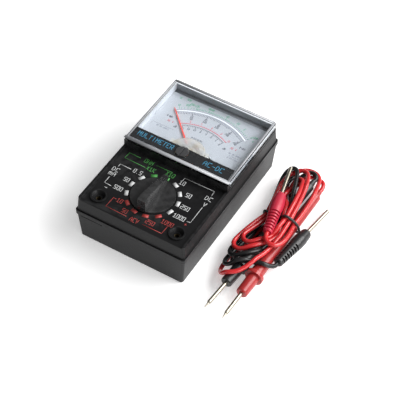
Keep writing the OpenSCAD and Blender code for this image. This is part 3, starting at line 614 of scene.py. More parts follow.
plastic("bridge_enamel", (0.5, 0.49, 0.46), rough=0.45, wear_and_sheen=0.0)
print(len(ALL_FINISHES), "finishes so far")

# %% [markdown]
# The movement has springs of steel and bronze, jewel screws and a plated yoke. The probes and pins are
# nickel plated, which is a little yellower and darker than chrome.

# %% The meter's metals
metal("spring_steel", (0.62, 0.63, 0.65), rough=0.22)
metal("screw_steel", (0.58, 0.59, 0.61), rough=0.28, tarnish=0.35)
metal("yoke_steel", (0.8, 0.73, 0.58), rough=0.45)
metal("bronze", (0.74, 0.46, 0.2), rough=0.28)
metal("brass_parts", (0.8, 0.6, 0.26), rough=0.24)
# Brass darkened as painted shade, for the sockets down in the jack holes.
metal("shaded_brass", (0.16, 0.12, 0.06), rough=0.5)
metal("tinned_metal", (0.72, 0.73, 0.75), rough=0.3)
metal("coil_wire", (0.72, 0.25, 0.12), rough=0.35, streak=4000.0)
metal("nickel_plate", (0.44, 0.4, 0.33), rough=0.3, streak=400.0, tarnish=0.3)
print(len(ALL_FINISHES), "finishes so far")

# %% [markdown]
# The leads have plastics of their own. The plugs are a soft matt moulding, the red probe is a harder and
# slightly see-through red that glows where it is thin, and both cords are glossy PVC.

# %% The leads' plastics
plastic("red_moulding", (0.47, 0.018, 0.045), lift=1.1, rough=0.42, grain=2600.0, depth=0.03, wear_and_sheen=0.15,
        Subsurface_Weight=0.12, Subsurface_Scale=0.0012, Subsurface_Radius=(1.0, 0.25, 0.2))
plastic("black_moulding", (0.012, 0.012, 0.0125), lift=1.3, rough=0.34, grain=2600.0, depth=0.03, wear_and_sheen=0.3)
plastic("red_probe_plastic", (0.33, 0.02, 0.02), lift=1.15, rough=0.3, grain=2200.0, depth=0.02, wear_and_sheen=0.2,
        Subsurface_Weight=0.25, Subsurface_Scale=0.002, Subsurface_Radius=(1.0, 0.2, 0.12))
plastic("red_pvc", (0.56, 0.02, 0.024), lift=1.08, rough=0.27, grain=1500.0, depth=0.006, wear_and_sheen=0.0,
        Coat_Weight=0.25, Coat_Roughness=0.12)
plastic("black_pvc", (0.009, 0.009, 0.0095), lift=1.2, rough=0.33, grain=1500.0, depth=0.006, wear_and_sheen=0.0,
        Specular_IOR_Level=0.4)
plastic("tie_pvc", (0.016, 0.016, 0.017), rough=0.4, grain=1500.0, wear_and_sheen=0.0)
print(len(ALL_FINISHES), "finishes so far")

# %% [markdown]
# The window is a clear tray of polystyrene. Glass in a path tracer blocks lamps, and the dial under it
# would go dark, so rays that travel to a lamp see a transparent wall instead, as if the light passed
# straight through. The slight blue-grey tint is what thick clear styrene shows at its edges.

# %% The clear window
material, tree, shader, place = new_material("clear_window")
shader.inputs["Base Color"].default_value = (0.86, 0.88, 0.9, 1)
shader.inputs["Transmission Weight"].default_value = 1.0
shader.inputs["IOR"].default_value = 1.45
smudge = node(tree, "ShaderNodeTexNoise", {"Vector": place, "Scale": 220.0, "Detail": 4.0})
link(tree, ramp(tree, smudge.outputs["Fac"], 0.35, 0.75, 0.01, 0.05), shader.inputs["Roughness"])
clear = node(tree, "ShaderNodeBsdfTransparent", {"Color": (0.9, 0.92, 0.94, 1)})
either = node(tree, "ShaderNodeMixShader")
link(tree, node(tree, "ShaderNodeLightPath").outputs["Is Shadow Ray"], either.inputs[0])
link(tree, shader.outputs[0], either.inputs[1])
link(tree, clear.outputs[0], either.inputs[2])
link(tree, either.outputs[0], tree.nodes["Material Output"].inputs["Surface"])
print(material.name, "has", len(tree.nodes), "nodes")

# %% [markdown]
# What is left is thin: painted light on the window's rim, pale painted light and grey painted shade for the
# strips round the dial, a silver film, and the inks. Ink on a real panel is a little translucent and never
# pure, so each colour is duller than its name, and pinholes show what is below.

# %% Painted light and shade for the rim and strips, and inks
# The window's rim: a pale ribbon of painted light.
plastic("rim_painted_light", (0.36, 0.37, 0.39), lift=1.5, rough=0.22, grain=900.0, depth=0.01, wear_and_sheen=0.0)
plastic("film_silver", (0.42, 0.43, 0.44), rough=0.3, wear_and_sheen=0.0)
# Grey painted shade for the gap behind the dial, its ledge and the far side.
plastic("painted_shade_grey", (0.2, 0.21, 0.22), rough=0.4, wear_and_sheen=0.0)
# Pale painted light for the sheets at the sides of the dial.
plastic("painted_light_pale", (0.5, 0.51, 0.53), rough=0.4, wear_and_sheen=0.0)
ink("ink_white", (0.68, 0.69, 0.69))
ink("ink_green", (0.08, 0.36, 0.08))
ink("ink_red", (0.4, 0.045, 0.04))
ink("ink_blue", (0.05, 0.27, 0.44))
ink("dial_black", (0.05, 0.05, 0.07), thin=0.3)
ink("dial_grey", (0.3, 0.31, 0.36), thin=0.3)
ink("dial_green", (0.07, 0.4, 0.2), thin=0.2)
ink("dial_red", (0.72, 0.12, 0.14), thin=0.3)
ink("dial_mirror", (0.92, 0.93, 0.95), rough=0.15, thin=0.0)
print(len(ALL_FINISHES), "finishes")

# %% [markdown]
# Every part that came in with the frame already says which finish it has, by the name of its material slot.
# So the finishes are handed out in one loop, and new pieces name the slot that they belong to.

# %% Hand the finishes to the parts of the frame
for name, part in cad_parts.items():
    for index, old in enumerate(part.data.materials):
        part.data.materials[index] = ALL_FINISHES[old.name.split(".")[0]]

# The jack sockets take the darkened brass: painted shade down in their holes.
for name, finish in (("upper_bridge", "bridge_enamel"), ("upper_jewel_screw", "bridge_enamel"),
                     ("jack_socket_negative", "shaded_brass"), ("jack_socket_positive", "shaded_brass")):
    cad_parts[name].data.materials[0] = ALL_FINISHES[finish]
print("finishes handed to", len(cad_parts), "parts")


def finished(piece, body, finish):
    """Give a new piece its finish and the body that it rides on."""
    piece.data.materials.clear()
    piece.data.materials.append(ALL_FINISHES[finish])
    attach(piece, body)
    return piece


finished(red_cord, "test_leads", "red_pvc")
finished(black_cord, "test_leads", "black_pvc")
finished(tie, "test_leads", "tie_pvc")

# %% [markdown]
# ## Shells with real edges
# A moulded edge is never razor sharp: a radius of a few tenths of a millimetre catches a thin line of
# light, and that line is most of what makes a box look moulded. The shells' shapes are right in the frame,
# but their edges are sharp. So each shell is copied, its loose triangles are merged, and its visible sharp
# edges are picked by their place and rolled over with the bevel operator. The ribs inside stay as they are.

# %% Roll over the edges of a copied part
SHARP = math.radians(25)


def eased(name, source, radius, segments, wanted, sharp=SHARP):
    """Copy a part of the frame and bevel those of its sharp edges that wanted() picks, by place in mm."""
    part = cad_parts[source]
    piece = part.copy()
    piece.data = part.data.copy()
    piece.name = name
    bpy.context.scene.collection.objects.link(piece)
    only(piece)
    piece.hide_render = False
    bpy.ops.mesh.customdata_custom_splitnormals_clear()
    bpy.ops.object.mode_set(mode="EDIT")
    bpy.ops.mesh.select_all(action="SELECT")
    bpy.ops.mesh.remove_doubles(threshold=1e-6)
    bpy.ops.mesh.dissolve_limited(angle_limit=math.radians(0.3))
    bpy.ops.mesh.select_mode(type="EDGE")
    bpy.ops.mesh.select_all(action="DESELECT")
    mesh = bmesh.from_edit_mesh(piece.data)
    picked = 0
    for edge in mesh.edges:
        if len(edge.link_faces) == 2 and edge.calc_face_angle(0) > sharp:
            spot = (edge.verts[0].co + edge.verts[1].co) / 2 / MM
            if wanted(spot, edge.calc_length() / MM):
                edge.select_set(True)
                picked += 1
    bmesh.update_edit_mesh(piece.data)
    bpy.ops.mesh.bevel(offset=radius * MM, segments=segments, profile=0.5, affect="EDGES", clamp_overlap=True)
    bpy.ops.object.mode_set(mode="OBJECT")
    bpy.ops.object.shade_smooth_by_angle(angle=math.radians(40))
    even = piece.modifiers.new("even_normals", "WEIGHTED_NORMAL")
    even.keep_sharp = True
    bpy.ops.object.modifier_apply(modifier="even_normals")
    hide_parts(source)
    print(name, "has", picked, "eased edges and", len(piece.data.polygons), "faces")
    return piece


# %% [markdown]
# The front shell carries the panel, the window's seat and the two jacks with their raised rings. Its outer
# edges, its top edges and the rings are eased. The parting line stays crisp below, where it meets the rear.

# %% The front shell
PARTING_Z = 17.6
PANEL_Z = 25.4
OUTER_X, OUTER_Y = 28, 42.3
JACK_AT = (21.45, -37)
JACK_RING = (2.9, 4.2)
KNOB_Y = -23.55


def front_edge(spot, length):
    outside = abs(spot.x) > OUTER_X or abs(spot.y) > OUTER_Y
    on_top = spot.z > PANEL_Z - 0.1 and length > 0.9
    from_jack = math.hypot(abs(spot.x) - JACK_AT[0], spot.y - JACK_AT[1])
    jack_edge = JACK_RING[0] < from_jack < JACK_RING[1] and spot.z > PANEL_Z + 0.5
    on_wall = outside and spot.z > PARTING_Z - 0.1 and length > 0.15
    return on_wall or on_top or jack_edge


front = eased("front_shell", "front_case", 0.3, 2, front_edge)
finished(front, "case", "case_plastic")

# %% [markdown]
# The rear shell is a deep tray. Its lower rim and the rim under the parting line are eased, so the line
# between the shells reads as a groove, as it does on any two mouldings that are screwed together.

# %% The rear shell
FOOT_TOP_Z = 1.5
UPPER_RIM_Z = 16


def rear_edge(spot, length):
    outer_wall = abs(spot.x) > 27.9 or abs(spot.y) > 42.5
    near_rim = spot.z < FOOT_TOP_Z or UPPER_RIM_Z < spot.z < PARTING_Z + 0.1
    return (outer_wall and near_rim) or spot.z < 0.05


rear = eased("rear_shell", "rear_cover", 0.35, 2, rear_edge)
finished(rear, "case", "case_plastic")

# %% [markdown]
# The window is a clear tray set into the front shell. On the real one the outer corners are slightly round
# and the rest is sharp and polished, so only long edges on its outside are eased.

# %% The window
WINDOW_MIDDLE_Y, WINDOW_HALF_X, WINDOW_HALF_Y = 19.85, 28.4, 23.4


def window_edge(spot, length):
    outside = abs(spot.x) > WINDOW_HALF_X or abs(spot.y - WINDOW_MIDDLE_Y) > WINDOW_HALF_Y
    return length > 1 and outside


window = eased("window_tray", "window_cover", 0.15, 2, window_edge)
finished(window, "case", "clear_window")

# %% [markdown]
# The range knob is a disc with a tall grip across it, and fingers polish its edges round. The grip's curved
# sides are many narrow facets, so only edges above 50 degrees are taken and the facets stay as they are.
# The zero screw needs just the rim of its head and of its slot.

# %% The range knob and the zero screw
KNOB_R = 10.7
GRIP_FOOT_Z = 26.3
SCREW_FACE_Z = 31.55


def knob_edge(spot, length):
    return length > 0.4 and (spot.z > GRIP_FOOT_Z or math.hypot(spot.x, spot.y - KNOB_Y) > KNOB_R)


def screw_edge(spot, length):
    return spot.z > SCREW_FACE_Z


knob = eased("range_knob", "selector_knob", 0.2, 2, knob_edge, math.radians(50))
finished(knob, "selector", "knob_plastic")
screw = eased("zero_screw_head", "zero_adjust_screw", 0.12, 2, screw_edge)
finished(screw, "zero_adjuster", "screw_plastic")

# %% [markdown]
# The red plug lies with one row of its flex slots straight up. Its body is a stack of rings, so a copy of
# it may be turned about its own axis without a change to its outline.

# %% The red plug, turned
red_grip = eased("red_plug_grip", "red_plug_body", 0.1, 1, lambda spot, length: False)
(tail_x, tail_y, tail_z), (nose_x, nose_y, nose_z) = LEAD_LINES["red_plug_body"]
nose, tail = point(nose_x, nose_y, nose_z), point(tail_x, tail_y, tail_z)
red_grip.data.transform(Matrix.Translation(nose) @ Matrix.Rotation(math.radians(90), 4, tail - nose)
                        @ Matrix.Translation(-nose))
finished(red_grip, "test_leads", "red_moulding")

# %% [markdown]
# A lead is a cord with a plug on one end and a probe on the other. Its length is the settled line's own,
# from where it leaves the plug to where it goes into the probe. The tie is counted with the red cord, which
# lies on top.

# %% What the two cords are


def declare_cord(piece, line, carried):
    """Print the cord's name, its length and how many pieces it carries."""
    print(piece.name, "is", round(length_of(line)), "mm long and carries", len(carried), "pieces")


declare_cord(red_cord, red_line, [red_grip, tie, "red_plug_pin", "red_probe_body", "red_probe_rod"])
declare_cord(black_cord, black_line,
             ["black_plug_body", "black_plug_pin", "black_probe_body", "black_probe_rod"])

# %% [markdown]
# ## Printing
# The panel and the dial are screen printed with single-stroke lettering, the kind a drafting machine draws.
# So the alphabet here is a table of pen strokes on a small grid: each letter is a few runs of points,
# written as column and row digits. A letter becomes short ribbons, one for each straight stroke, that
# overlap at the corners. All ribbons of one colour are one curve, made a mesh and given the thickness of a
# layer of ink.

# %% The drawn alphabet
STROKES = {
    "0": "00 04 24 20 00", "1": "03 14 10,00 20", "2": "04 24 22 02 00 20", "3": "04 24 20 00,02 22",
    "4": "04 02 22,24 20", "5": "24 04 02 22 20 00", "6": "24 04 00 20 22 02", "7": "04 24 10",
    "8": "00 04 24 20 00,02 22", "9": "00 20 24 04 02 22", "A": "00 03 14 23 20,02 22", "C": "24 04 00 20",
    "D": "00 04 14 23 21 10 00", "E": "24 04 00 20,02 12", "F": "00 04 24,02 12", "H": "00 04,20 24,02 22",
    "I": "10 14", "K": "00 04,24 02 20", "L": "04 00 20", "M": "00 04 12 24 20", "O": "00 04 24 20 00",
    "R": "00 04 24 22 02,12 20", "S": "24 04 02 22 20 00", "T": "04 24,14 10", "U": "04 00 20 24",
    "V": "04 10 24", "X": "00 24,04 20", "m": "00 03 13 23 20,13 10", "d": "24 20 00 02 22",
    "+": "02 22,11 13", "-": "02 22", ".": "10 10", "/": "00 24", " ": "",
    "B": "00 04 14 23 12 02,12 21 10 00",
}
LETTER_W = 0.56
LETTER_GAP = 0.32
print("the alphabet has", len(STROKES), "signs")


def lettering(text, x, y, height, weight=0.125, turn=0.0, wide=1.0):
    """Pen strokes for text centred on (x, y): pairs of points in millimetres, each with a width."""
    column = LETTER_W * height / 2 * wide
    step = (LETTER_W + LETTER_GAP) * height * wide
    start = -(len(text) - 1) * step / 2
    marks = []
    for place, letter in enumerate(text):
        for stroke in filter(None, STROKES[letter].split(",")):
            spots = [(start + place * step + (int(p[0]) - 1) * column, (int(p[1]) / 4 - 0.5) * height)
                     for p in stroke.split()]
            marks += [(pair, weight * height) for pair in zip(spots[:-1], spots[1:])]
    cos, sin = math.cos(turn), math.sin(turn)
    return [([(x + u * cos - v * sin, y + u * sin + v * cos) for u, v in spots], width)
            for spots, width in marks]


def lines(points, width):
    return [(pair, width) for pair in zip(points[:-1], points[1:])]


# %% [markdown]
# A layer of ink is a flat curve, a ribbon for each stroke, made a mesh and thickened. Two ribbons at
# exactly the same height would flicker black where they cross, so each is a few thousandths of a millimetre
# higher than the last, and after seven the heights start again.

# %% A layer of ink
FILM_STEP, FILM_LEVELS = 0.003, 7


def printed(name, marks, height, finish, thick=0.03):
    """One layer of ink: flat ribbons, each a hair higher than the last so that no two faces coincide."""
    bpy.ops.curve.primitive_nurbs_path_add(location=(0, 0, 0))
    piece = bpy.context.object
    piece.name = name
    piece.data.splines.clear()
    for order, (spots, width) in enumerate(marks):
        line = [Vector((*spot, order % FILM_LEVELS * FILM_STEP)) for spot in spots]
        head, tail = line[0] - line[1], line[-1] - line[-2]
        line[0] = line[0] + (head.normalized() if head.length else Vector((0, 1, 0))) * width / 2
        line[-1] = line[-1] + (tail.normalized() if tail.length else Vector((0, -1, 0))) * width / 2
        spline = piece.data.splines.new("POLY")
        spline.points.add(len(line) - 1)
        for knot, place in zip(spline.points, line):
            knot.co = (*(place * MM), 1)
            knot.radius = width / 2 * MM
            knot.tilt = math.pi / 2
    piece.data.dimensions = "3D"
    piece.data.extrude = 1.0
    only(piece)
    bpy.ops.object.convert(target="MESH")
    solid = piece.modifiers.new("layer", "SOLIDIFY")
    solid.thickness = thick * MM
    solid.offset = 0
    bpy.ops.object.modifier_apply(modifier="layer")
    piece.data.transform(Matrix.Translation((0, 0, (height + thick / 2) * MM)))
    bpy.ops.object.mode_set(mode="EDIT")
    bpy.ops.mesh.select_all(action="SELECT")
    bpy.ops.mesh.normals_make_consistent(inside=False)
    bpy.ops.object.mode_set(mode="OBJECT")
    finished(piece, "case", finish)
    print(name, "has", len(marks), "marks")


# %% [markdown]
# The thirteen range marks stand on a circle round the knob, one for each click. The numbers beside them are
# grouped by thin brackets in three colours: white for direct voltage and current, red for alternating
# voltage and green for resistance.

# %% Range marks round the knob
RANGES = 13
MARK_R, MARK_DEEP, MARK_WIDE = 12.6, 1.8, 3.1
FIRST_MARK = -2
MARK_COLOURS = "gwwwwrrrrwwwg"


def range_mark(index):
    turn = math.radians(FIRST_MARK + index * 360 / RANGES)
    middle_x, middle_y = math.sin(turn) * MARK_R, KNOB_Y + math.cos(turn) * MARK_R
    reach = (MARK_WIDE - MARK_DEEP) / 2
    side = math.cos(turn) * reach, -math.sin(turn) * reach
    return [(middle_x - side[0], middle_y - side[1]), (middle_x + side[0], middle_y + side[1])], MARK_DEEP


marks = {colour: [range_mark(i) for i, c in enumerate(MARK_COLOURS) if c == colour] for colour in "gwr"}
print({colour: len(some) for colour, some in marks.items()}, "range marks")

# %% [markdown]
# The lettering is added to the same three lists, so that each colour of the panel becomes one layer, as on
# a screen printer's frame. Every text is placed by its centre, and every bracket by its corners.

# %% Panel lettering and brackets
BRACKET = 0.28
DIGIT = 2.3
for text, x, y in (("10", 7.5, -9.4), ("50", 14, -14.7), ("250", 16.5, -22), ("1000", 17.1, -28.1),
                   ("0.5", -14.2, -14.6), ("50", -16.1, -21.4), ("500", -16.6, -27.9)):
    marks["w"] += lettering(text, x, y, DIGIT, wide=0.8)
for text, x, y in (("DC", 23, -11.4), ("V", 23.3, -15.5), ("DC", -24, -18.7), ("mA", -24, -21.7),
                   ("-", -21.8, -30.6)):
    marks["w"] += lettering(text, x, y, DIGIT)
for corner_line in ([(6.8, -8), (6.9, -6.2), (23, -6.1), (23.2, -9)],
                    [(23.2, -17.6), (23.2, -28.2), (21.4, -28.4)],
                    [(-24.1, -16.5), (-24, -14.7), (-18, -14.8)],
                    [(-24, -24.2), (-24.1, -28.3), (-20.4, -28.5)]):
    marks["w"] += lines(corner_line, BRACKET)
for text, x, y in (("10", -11.6, -34.1), ("50", -6.3, -38.1), ("250", 7.4, -37.9), ("1000", 14.4, -34.1),
                   ("ACV", 0.4, -40.6), ("+", 21.8, -30.4)):
    marks["r"] += lettering(text, x, y, DIGIT, wide=0.8)
for corner_line in ([(-13.6, -34.1), (-15.2, -34), (-15.4, -40.2), (-3.9, -40.4)],
                    [(5, -40.6), (15.3, -40.6), (15.5, -36)]):
    marks["r"] += lines(corner_line, BRACKET)
for text, x, y in (("OHM", -13, -6.5), ("X1K", -9.8, -9.9), ("X10", -0.2, -8)):
    marks["g"] += lettering(text, x, y, DIGIT, wide=0.84)
for corner_line in ([(-18, -6.3), (-24.2, -6.2), (-24.5, -10.1), (-12.9, -10.3)],
                    [(-8.8, -6.4), (0, -6.3), (0, -7)]):
    marks["g"] += lines(corner_line, BRACKET)
printed("panel_print_white", marks["w"], PANEL_Z, "ink_white")
printed("panel_print_red", marks["r"], PANEL_Z, "ink_red")
printed("panel_print_green", marks["g"], PANEL_Z, "ink_green")

# %% [markdown]
# Light that enters the wall of a clear tray is trapped in it and comes out at the rim, so the rim looks
# pale from above. Pale ribbons on top of the walls paint that light on, as a painted highlight. The front
# wall is the thickest. A grey strip over the gap between the dial plate and the far wall is painted shade for
# the dark inside of the case, lightened by a painted reflection, and a thin one lies on the ledge behind it.

# %% Painted light on the window's rim and painted shade behind the dial
WINDOW_TOP_Z = 31.5
rim = lines([(-28.1, -2.7), (28.1, -2.7)], 2) + lines([(-28, -1.5), (-28, 42.6), (28, 42.6), (28, -1.5)], 1.1)
printed("window_rim_light", rim, WINDOW_TOP_Z + 0.005, "rim_painted_light")
# Grey painted shade, lightened as by a reflection, over the gap behind the dial and on its ledge.
back_shade, ledge = lines([(-26, 40.85), (26, 40.85)], 2.1), lines([(-27, 42.2), (27, 42.2)], 0.4)
printed("dial_back_shade", back_shade, 25.6, "painted_shade_grey", thick=0.3)
printed("ledge_shade", ledge, 27.52, "painted_shade_grey")

# %% [markdown]
# Thin sheets stand on edge round the dial, inside the wall of the window. The pale ones on the sides are
# painted light, where the side walls of the clear tray catch it, and the grey one on the far side is painted
# shade. Each is a block with rounded upright edges, and the same helper makes the film on the back later.

# %% Painted light and shade round the dial


def bar(name, low, high, finish, corner=0.05):
    """A thin strip or film between two corners, with its upright edges rounded."""
    bpy.ops.mesh.primitive_cube_add(size=1, location=(0, 0, 0))
    piece = only(bpy.context.object)
    piece.name = name
    size, middle = Vector(high) - Vector(low), (Vector(high) + Vector(low)) / 2
    piece.data.transform(Matrix.Translation(middle * MM) @ Matrix.Diagonal((*(size * MM), 1)))
    bpy.ops.object.mode_set(mode="EDIT")
    bpy.ops.mesh.select_mode(type="EDGE")
    bpy.ops.mesh.select_all(action="DESELECT")
    mesh = bmesh.from_edit_mesh(piece.data)
    for edge in mesh.edges:
        run = edge.verts[1].co - edge.verts[0].co
        if abs(run.z) > abs(run.x) + abs(run.y):
            edge.select_set(True)
    bmesh.update_edit_mesh(piece.data)
    bpy.ops.mesh.bevel(offset=corner * MM, segments=4, affect="EDGES")
    bpy.ops.object.mode_set(mode="OBJECT")
    print(name, "has", len(piece.data.polygons), "faces")
    return finished(piece, "case", finish)


SHEET_IN, SHEET_OUT = 27.13, 27.25
SHEET_NEAR_Y, SHEET_FAR_Y = -1.5, 41.8
SHEET_LOW_Z, SHEET_TOP_Z = 26.05, 29.9
# Pale sheets of painted light at the sides, and a grey sheet of painted shade at the far side.
for name, left, right in (("side_light_sheet_l", -SHEET_OUT, -SHEET_IN), ("side_light_sheet_r", SHEET_IN, SHEET_OUT)):
    bar(name, (left, SHEET_NEAR_Y, SHEET_LOW_Z), (right, SHEET_FAR_Y, SHEET_TOP_Z), "painted_light_pale")
bar("far_shade_sheet", (-27.1, SHEET_FAR_Y, SHEET_LOW_Z), (27.1, SHEET_FAR_Y + 0.12, SHEET_TOP_Z), "painted_shade_grey")

# %% [markdown]
# Over the movement lies a cap of milky cream plastic, cut off straight where the black band begins, and the
# needle comes out from under it. It is a circle with its near part deleted, filled and thickened. Half
# clear alpha lets the parts below show through as they do through thin milky plastic.

# %% The milky cap over the movement
CAP_AT, CAP_R, CAP_CUT_Y, CAP_Z, CAP_THICK = (0.8, 3.9), 9.8, 5.4, 29.55, 0.3
material, tree, shader, place = new_material("cap_cream")
haze = node(tree, "ShaderNodeTexNoise", {"Vector": place, "Scale": 260.0, "Detail": 2.0})
patches = ramp(tree, haze.outputs["Fac"], 0.35, 0.65)
milk = blend_colour(tree, patches, (0.56, 0.55, 0.53, 1), (0.56, 0.5, 0.4, 1))
link(tree, milk, shader.inputs["Base Color"])
shader.inputs["Roughness"].default_value = 0.45
shader.inputs["Alpha"].default_value = 0.45
bpy.ops.mesh.primitive_circle_add(vertices=64, radius=CAP_R * MM, fill_type="NOTHING", location=(0, 0, 0))
cap = only(bpy.context.object)
cap.name = "movement_cap"
cap.data.transform(Matrix.Translation(point(*CAP_AT, CAP_Z)))
bpy.ops.object.mode_set(mode="EDIT")
mesh = bmesh.from_edit_mesh(cap.data)
for vertex in mesh.verts:
    vertex.select_set(vertex.co.y < CAP_CUT_Y * MM)
bmesh.update_edit_mesh(cap.data)
bpy.ops.mesh.delete(type="VERT")
bpy.ops.mesh.select_all(action="SELECT")
bpy.ops.mesh.edge_face_add()
bpy.ops.object.mode_set(mode="OBJECT")
solid = cap.modifiers.new("layer", "SOLIDIFY")
solid.thickness = CAP_THICK * MM
solid.offset = 1
bpy.ops.object.modifier_apply(modifier="layer")
finished(cap, "case", "cap_cream")
print(cap.name, "has", len(cap.data.polygons), "faces")

# %% [markdown]
# A black band runs across the foot of the window. Its words stand in light blue on both sides of the zero
# screw, drawn with the panel's alphabet a little larger.

# %% Words on the black band
BAND_TOP_Z = 31.62
band_words = lettering("MULTIMETER", -14.9, 2.5, 2.7, wide=0.84)
band_words += lettering("AC-DC", 17.4, 2.1, 2.7, wide=0.94)
printed("band_words", band_words, BAND_TOP_Z, "ink_blue")

# %% [markdown]
# ## The dial
# All the scales share one centre. The resistance scale is outermost and runs backwards, crowded to the
# left, because a series ohmmeter's needle falls as full scale over one plus resistance. Under it come the
# mirror band that helps the eye avoid parallax, then an even scale with two rows of numbers, a red scale
# for alternating volts and a small decibel scale.

# %% Places on the dial
DIAL_TOP_Z = 26.0
HALF_SPAN = math.radians(33.6)
HAIR = 0.14
OHM_SCALE, MIRROR_R, EVEN_SCALE, RED_SCALE, DB_SCALE = 36.1, 34.7, 33.5, 26, 24.9


def on_dial(share, radius):
    """A place on the dial: share runs from 0 at the left stop to 1 at full scale."""
    turn = -HALF_SPAN + 2 * HALF_SPAN * share
    return math.sin(turn) * radius, math.cos(turn) * radius, -turn


def arc(radius, width, low=0.0, high=1.0, steps=48):
    return [([on_dial(low + (high - low) * i / steps, radius)[:2] for i in range(steps + 1)], width)]


def tick(share, inner, outer, width=HAIR):
    return [([on_dial(share, inner)[:2], on_dial(share, outer)[:2]], width)]


def number(text, share, radius, height):
    x, y, turn = on_dial(share, radius)
    return lettering(text, x, y, height, weight=0.15, turn=turn, wide=0.8)


print("the scales span", round(math.degrees(2 * HALF_SPAN)), "degrees")

# %% [markdown]
# The even scale has fifty parts, with longer ticks at the fives and tens. The resistance scale is worked
# out from the meter's law: the needle stands at the share m / (m + r) for a resistance r, where m is the
# resistance at the middle of the scale.

# %% The even scale, the mirror band and the resistance scale
black, red, green, grey = [], [], [], []
for i in range(51):
    major, half = i % 10 == 0, i % 5 == 0
    deep = 1.7 if major else 1.2 if half else 0.8
    black += tick(i / 50, EVEN_SCALE - deep, EVEN_SCALE, 0.26 if major else 0.18)
for i in range(6):
    black += number(str(i * 10), i / 5, EVEN_SCALE - 2.5, 1.05)
    black += number(str(i * 50), i / 5, EVEN_SCALE - 4, 1.05)
grey += arc(MIRROR_R + 0.65, 0.34) + arc(MIRROR_R - 0.65, 0.3)
mirror = arc(MIRROR_R, 1)

OHM_MIDDLE = 30
LABELLED = {0: "0", 5: "5", 10: "10", 20: "20", 50: "50", 100: "100", 200: "200", 900: "1K"}
for ohms in [*range(0, 20), *range(20, 50, 2), *range(50, 100, 5), 100, 120, 150, 200, 300, 500, 900]:
    share = OHM_MIDDLE / (OHM_MIDDLE + ohms)
    green += tick(share, OHM_SCALE, OHM_SCALE + (1.6 if ohms in LABELLED else 1), 0.17)
for ohms, text in LABELLED.items():
    green += number(text, OHM_MIDDLE / (OHM_MIDDLE + ohms), OHM_SCALE + 2.6, 1.15)
for text, x, y in (("1K", -22, 37.6), ("500", -17.6, 38.4), ("200", -14.6, 36.6), ("30", -4, 38.4),
                   ("OHM", 23.2, 33), ("K", 23.2, 30.4)):
    green += lettering(text, x, y, 1.1, weight=0.16, wide=0.8)
print(len(green), "marks on the resistance scale")

# %% [markdown]
# The red scale is for alternating volts. Its ticks crowd slightly at the left, where the rectifier's diodes
# barely conduct. The decibel scale under it and the legends at both ends complete the dial, and then each
# colour is printed as one layer.

# %% Lower scales and legends
for i in range(26):
    share = 0.04 + 0.88 * (i / 25) ** 1.05
    red += tick(share, RED_SCALE, RED_SCALE + (1 if i % 5 == 0 else 0.55), 0.16)
    if i % 5 == 0:
        red += number(str(i * 10 // 25), share, RED_SCALE + 1.8, 1)
red += arc(RED_SCALE, 0.34, 0.04, 0.92)
black += arc(DB_SCALE, 0.2, 0.08, 0.9)
for i in range(29):
    deep, width = (1.4, 0.22) if i % 4 == 0 else (0.7, 0.15)
    black += tick(0.08 + 0.82 * i / 28, DB_SCALE - deep, DB_SCALE, width)
for i in range(8):
    black += number(str(abs(i * 4 - 20)), 0.08 + 0.82 * i / 7, DB_SCALE - 2.3, 1.05)
for text, x, y, layer in (("V-mA", -20.2, 23.9, black), ("AC V", -18, 21.2, red), ("dB", -14.2, 19.3, black),
                          ("V-mA", 21, 23.8, black), ("AC V", 17.6, 21.2, red), ("dB", 13.6, 19, black)):
    layer += lettering(text, x, y, 1.15, weight=0.16, wide=0.8)
grey += lines([(-25.6, 15), (-25.6, 16.9), (-13.6, 16.9)], HAIR)
grey += lettering("DC 2K OHM/V", -19.2, 15.7, 0.85, weight=0.15, wide=0.85)
black += lettering("mA 0.5 50 500", -0.8, 17.4, 0.7, weight=0.15, wide=0.75)
for text, y in (("AC 2K OHM/V", 18), ("1.5V X 1", 16.6), ("0.5A 250V", 15.2)):
    grey += lettering(text, 20.3, y, 0.85, weight=0.15, wide=0.85)
printed("dial_print_black", black, DIAL_TOP_Z, "dial_black", thick=0.02)
printed("dial_print_red", red, DIAL_TOP_Z, "dial_red", thick=0.02)
printed("dial_print_green", green, DIAL_TOP_Z, "dial_green", thick=0.02)
printed("dial_print_grey", grey, DIAL_TOP_Z, "dial_grey", thick=0.03)
printed("dial_mirror_band", mirror, DIAL_TOP_Z, "dial_mirror", thick=0.02)

# %% [markdown]
# The back has a shallow field with a silver film in it, which names the cell and the fuse. Its lettering
# reads from below, so it is drawn mirrored.

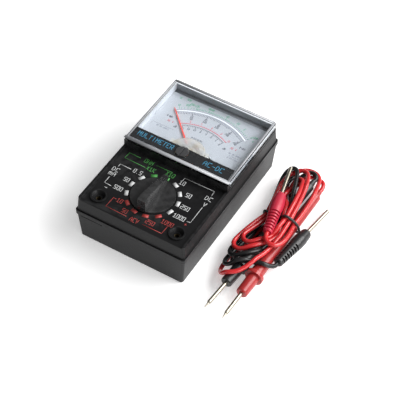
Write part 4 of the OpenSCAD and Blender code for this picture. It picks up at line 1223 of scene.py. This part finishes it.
# %% The rating film on the back
bar("rating_film", (-19.8, -14.8, 0.06), (19.8, 14.8, 0.28), "film_silver", corner=1.5)
rating = lettering("DC 2K OHM/V  AC 2K OHM/V", 0, 6, 1.6) + lettering("1.5V CELL   0.5A FUSE", 0, 0, 1.8)
rating += lettering("MULTIMETER", 0, -6, 1.8)
rating = [([(-x, y) for x, y in spots], width) for spots, width in rating]
printed("rating_words", rating, 0.02, "dial_black", thick=0.03)

# %% [markdown]
# ## The table and the light
# A plain pale table takes only soft shadows. Its slight glow keeps it white without a stronger lamp, which
# would bleach the dial.

# %% Table
TABLE_SIZE, TABLE_GLOW = 6, 0.38
bpy.ops.mesh.primitive_plane_add(size=TABLE_SIZE, location=(0, 0, -0.0002))
floor = bpy.context.object
floor.name = "table_top"
material, tree, shader, place = new_material("table_paper")
shader.inputs["Base Color"].default_value = (0.95, 0.95, 0.95, 1)
shader.inputs["Emission Color"].default_value = (1, 1, 1, 1)
shader.inputs["Emission Strength"].default_value = TABLE_GLOW
shader.inputs["Roughness"].default_value = 0.9
floor.data.materials.append(material)
print(floor.name, "is", round(floor.dimensions.x, 1), "m wide")

# %% [markdown]
# Three soft boxes light the meter, as in a small studio: a large one behind and to the right, which draws a
# sheen over the panel, a low one on the right for the side wall, and a weak one in front on the left to
# lift the near faces. An even white surround gives the clear window and the plated pins something to
# mirror.

# %% Lights
SURROUND_GLOW = 0.23


def soft_light(name, place, aim, size, power):
    bpy.ops.object.light_add(type="AREA", location=place)
    lamp = bpy.context.object
    lamp.name = name
    lamp.data.shape = "RECTANGLE"
    lamp.data.size, lamp.data.size_y = size
    lamp.data.energy = power
    lamp.rotation_euler = (Vector(aim) - lamp.location).to_track_quat("-Z", "Y").to_euler()


soft_light("key_box", (0.75, 0.55, 0.8), (0.02, 0, 0), (1.2, 0.8), 21)
soft_light("side_box", (0.9, -0.25, 0.35), (0.02, 0, 0), (0.7, 0.6), 4)
soft_light("fill_box", (-0.7, -0.7, 0.8), (0, 0, 0), (1.0, 0.8), 0.5)
surround = bpy.data.worlds.new("white_surround")
bpy.context.scene.world = surround
surround.use_nodes = True
surround.node_tree.nodes["Background"].inputs["Color"].default_value = (1, 1, 1, 1)
surround.node_tree.nodes["Background"].inputs["Strength"].default_value = SURROUND_GLOW
bpy.context.scene.view_settings.view_transform = "Standard"
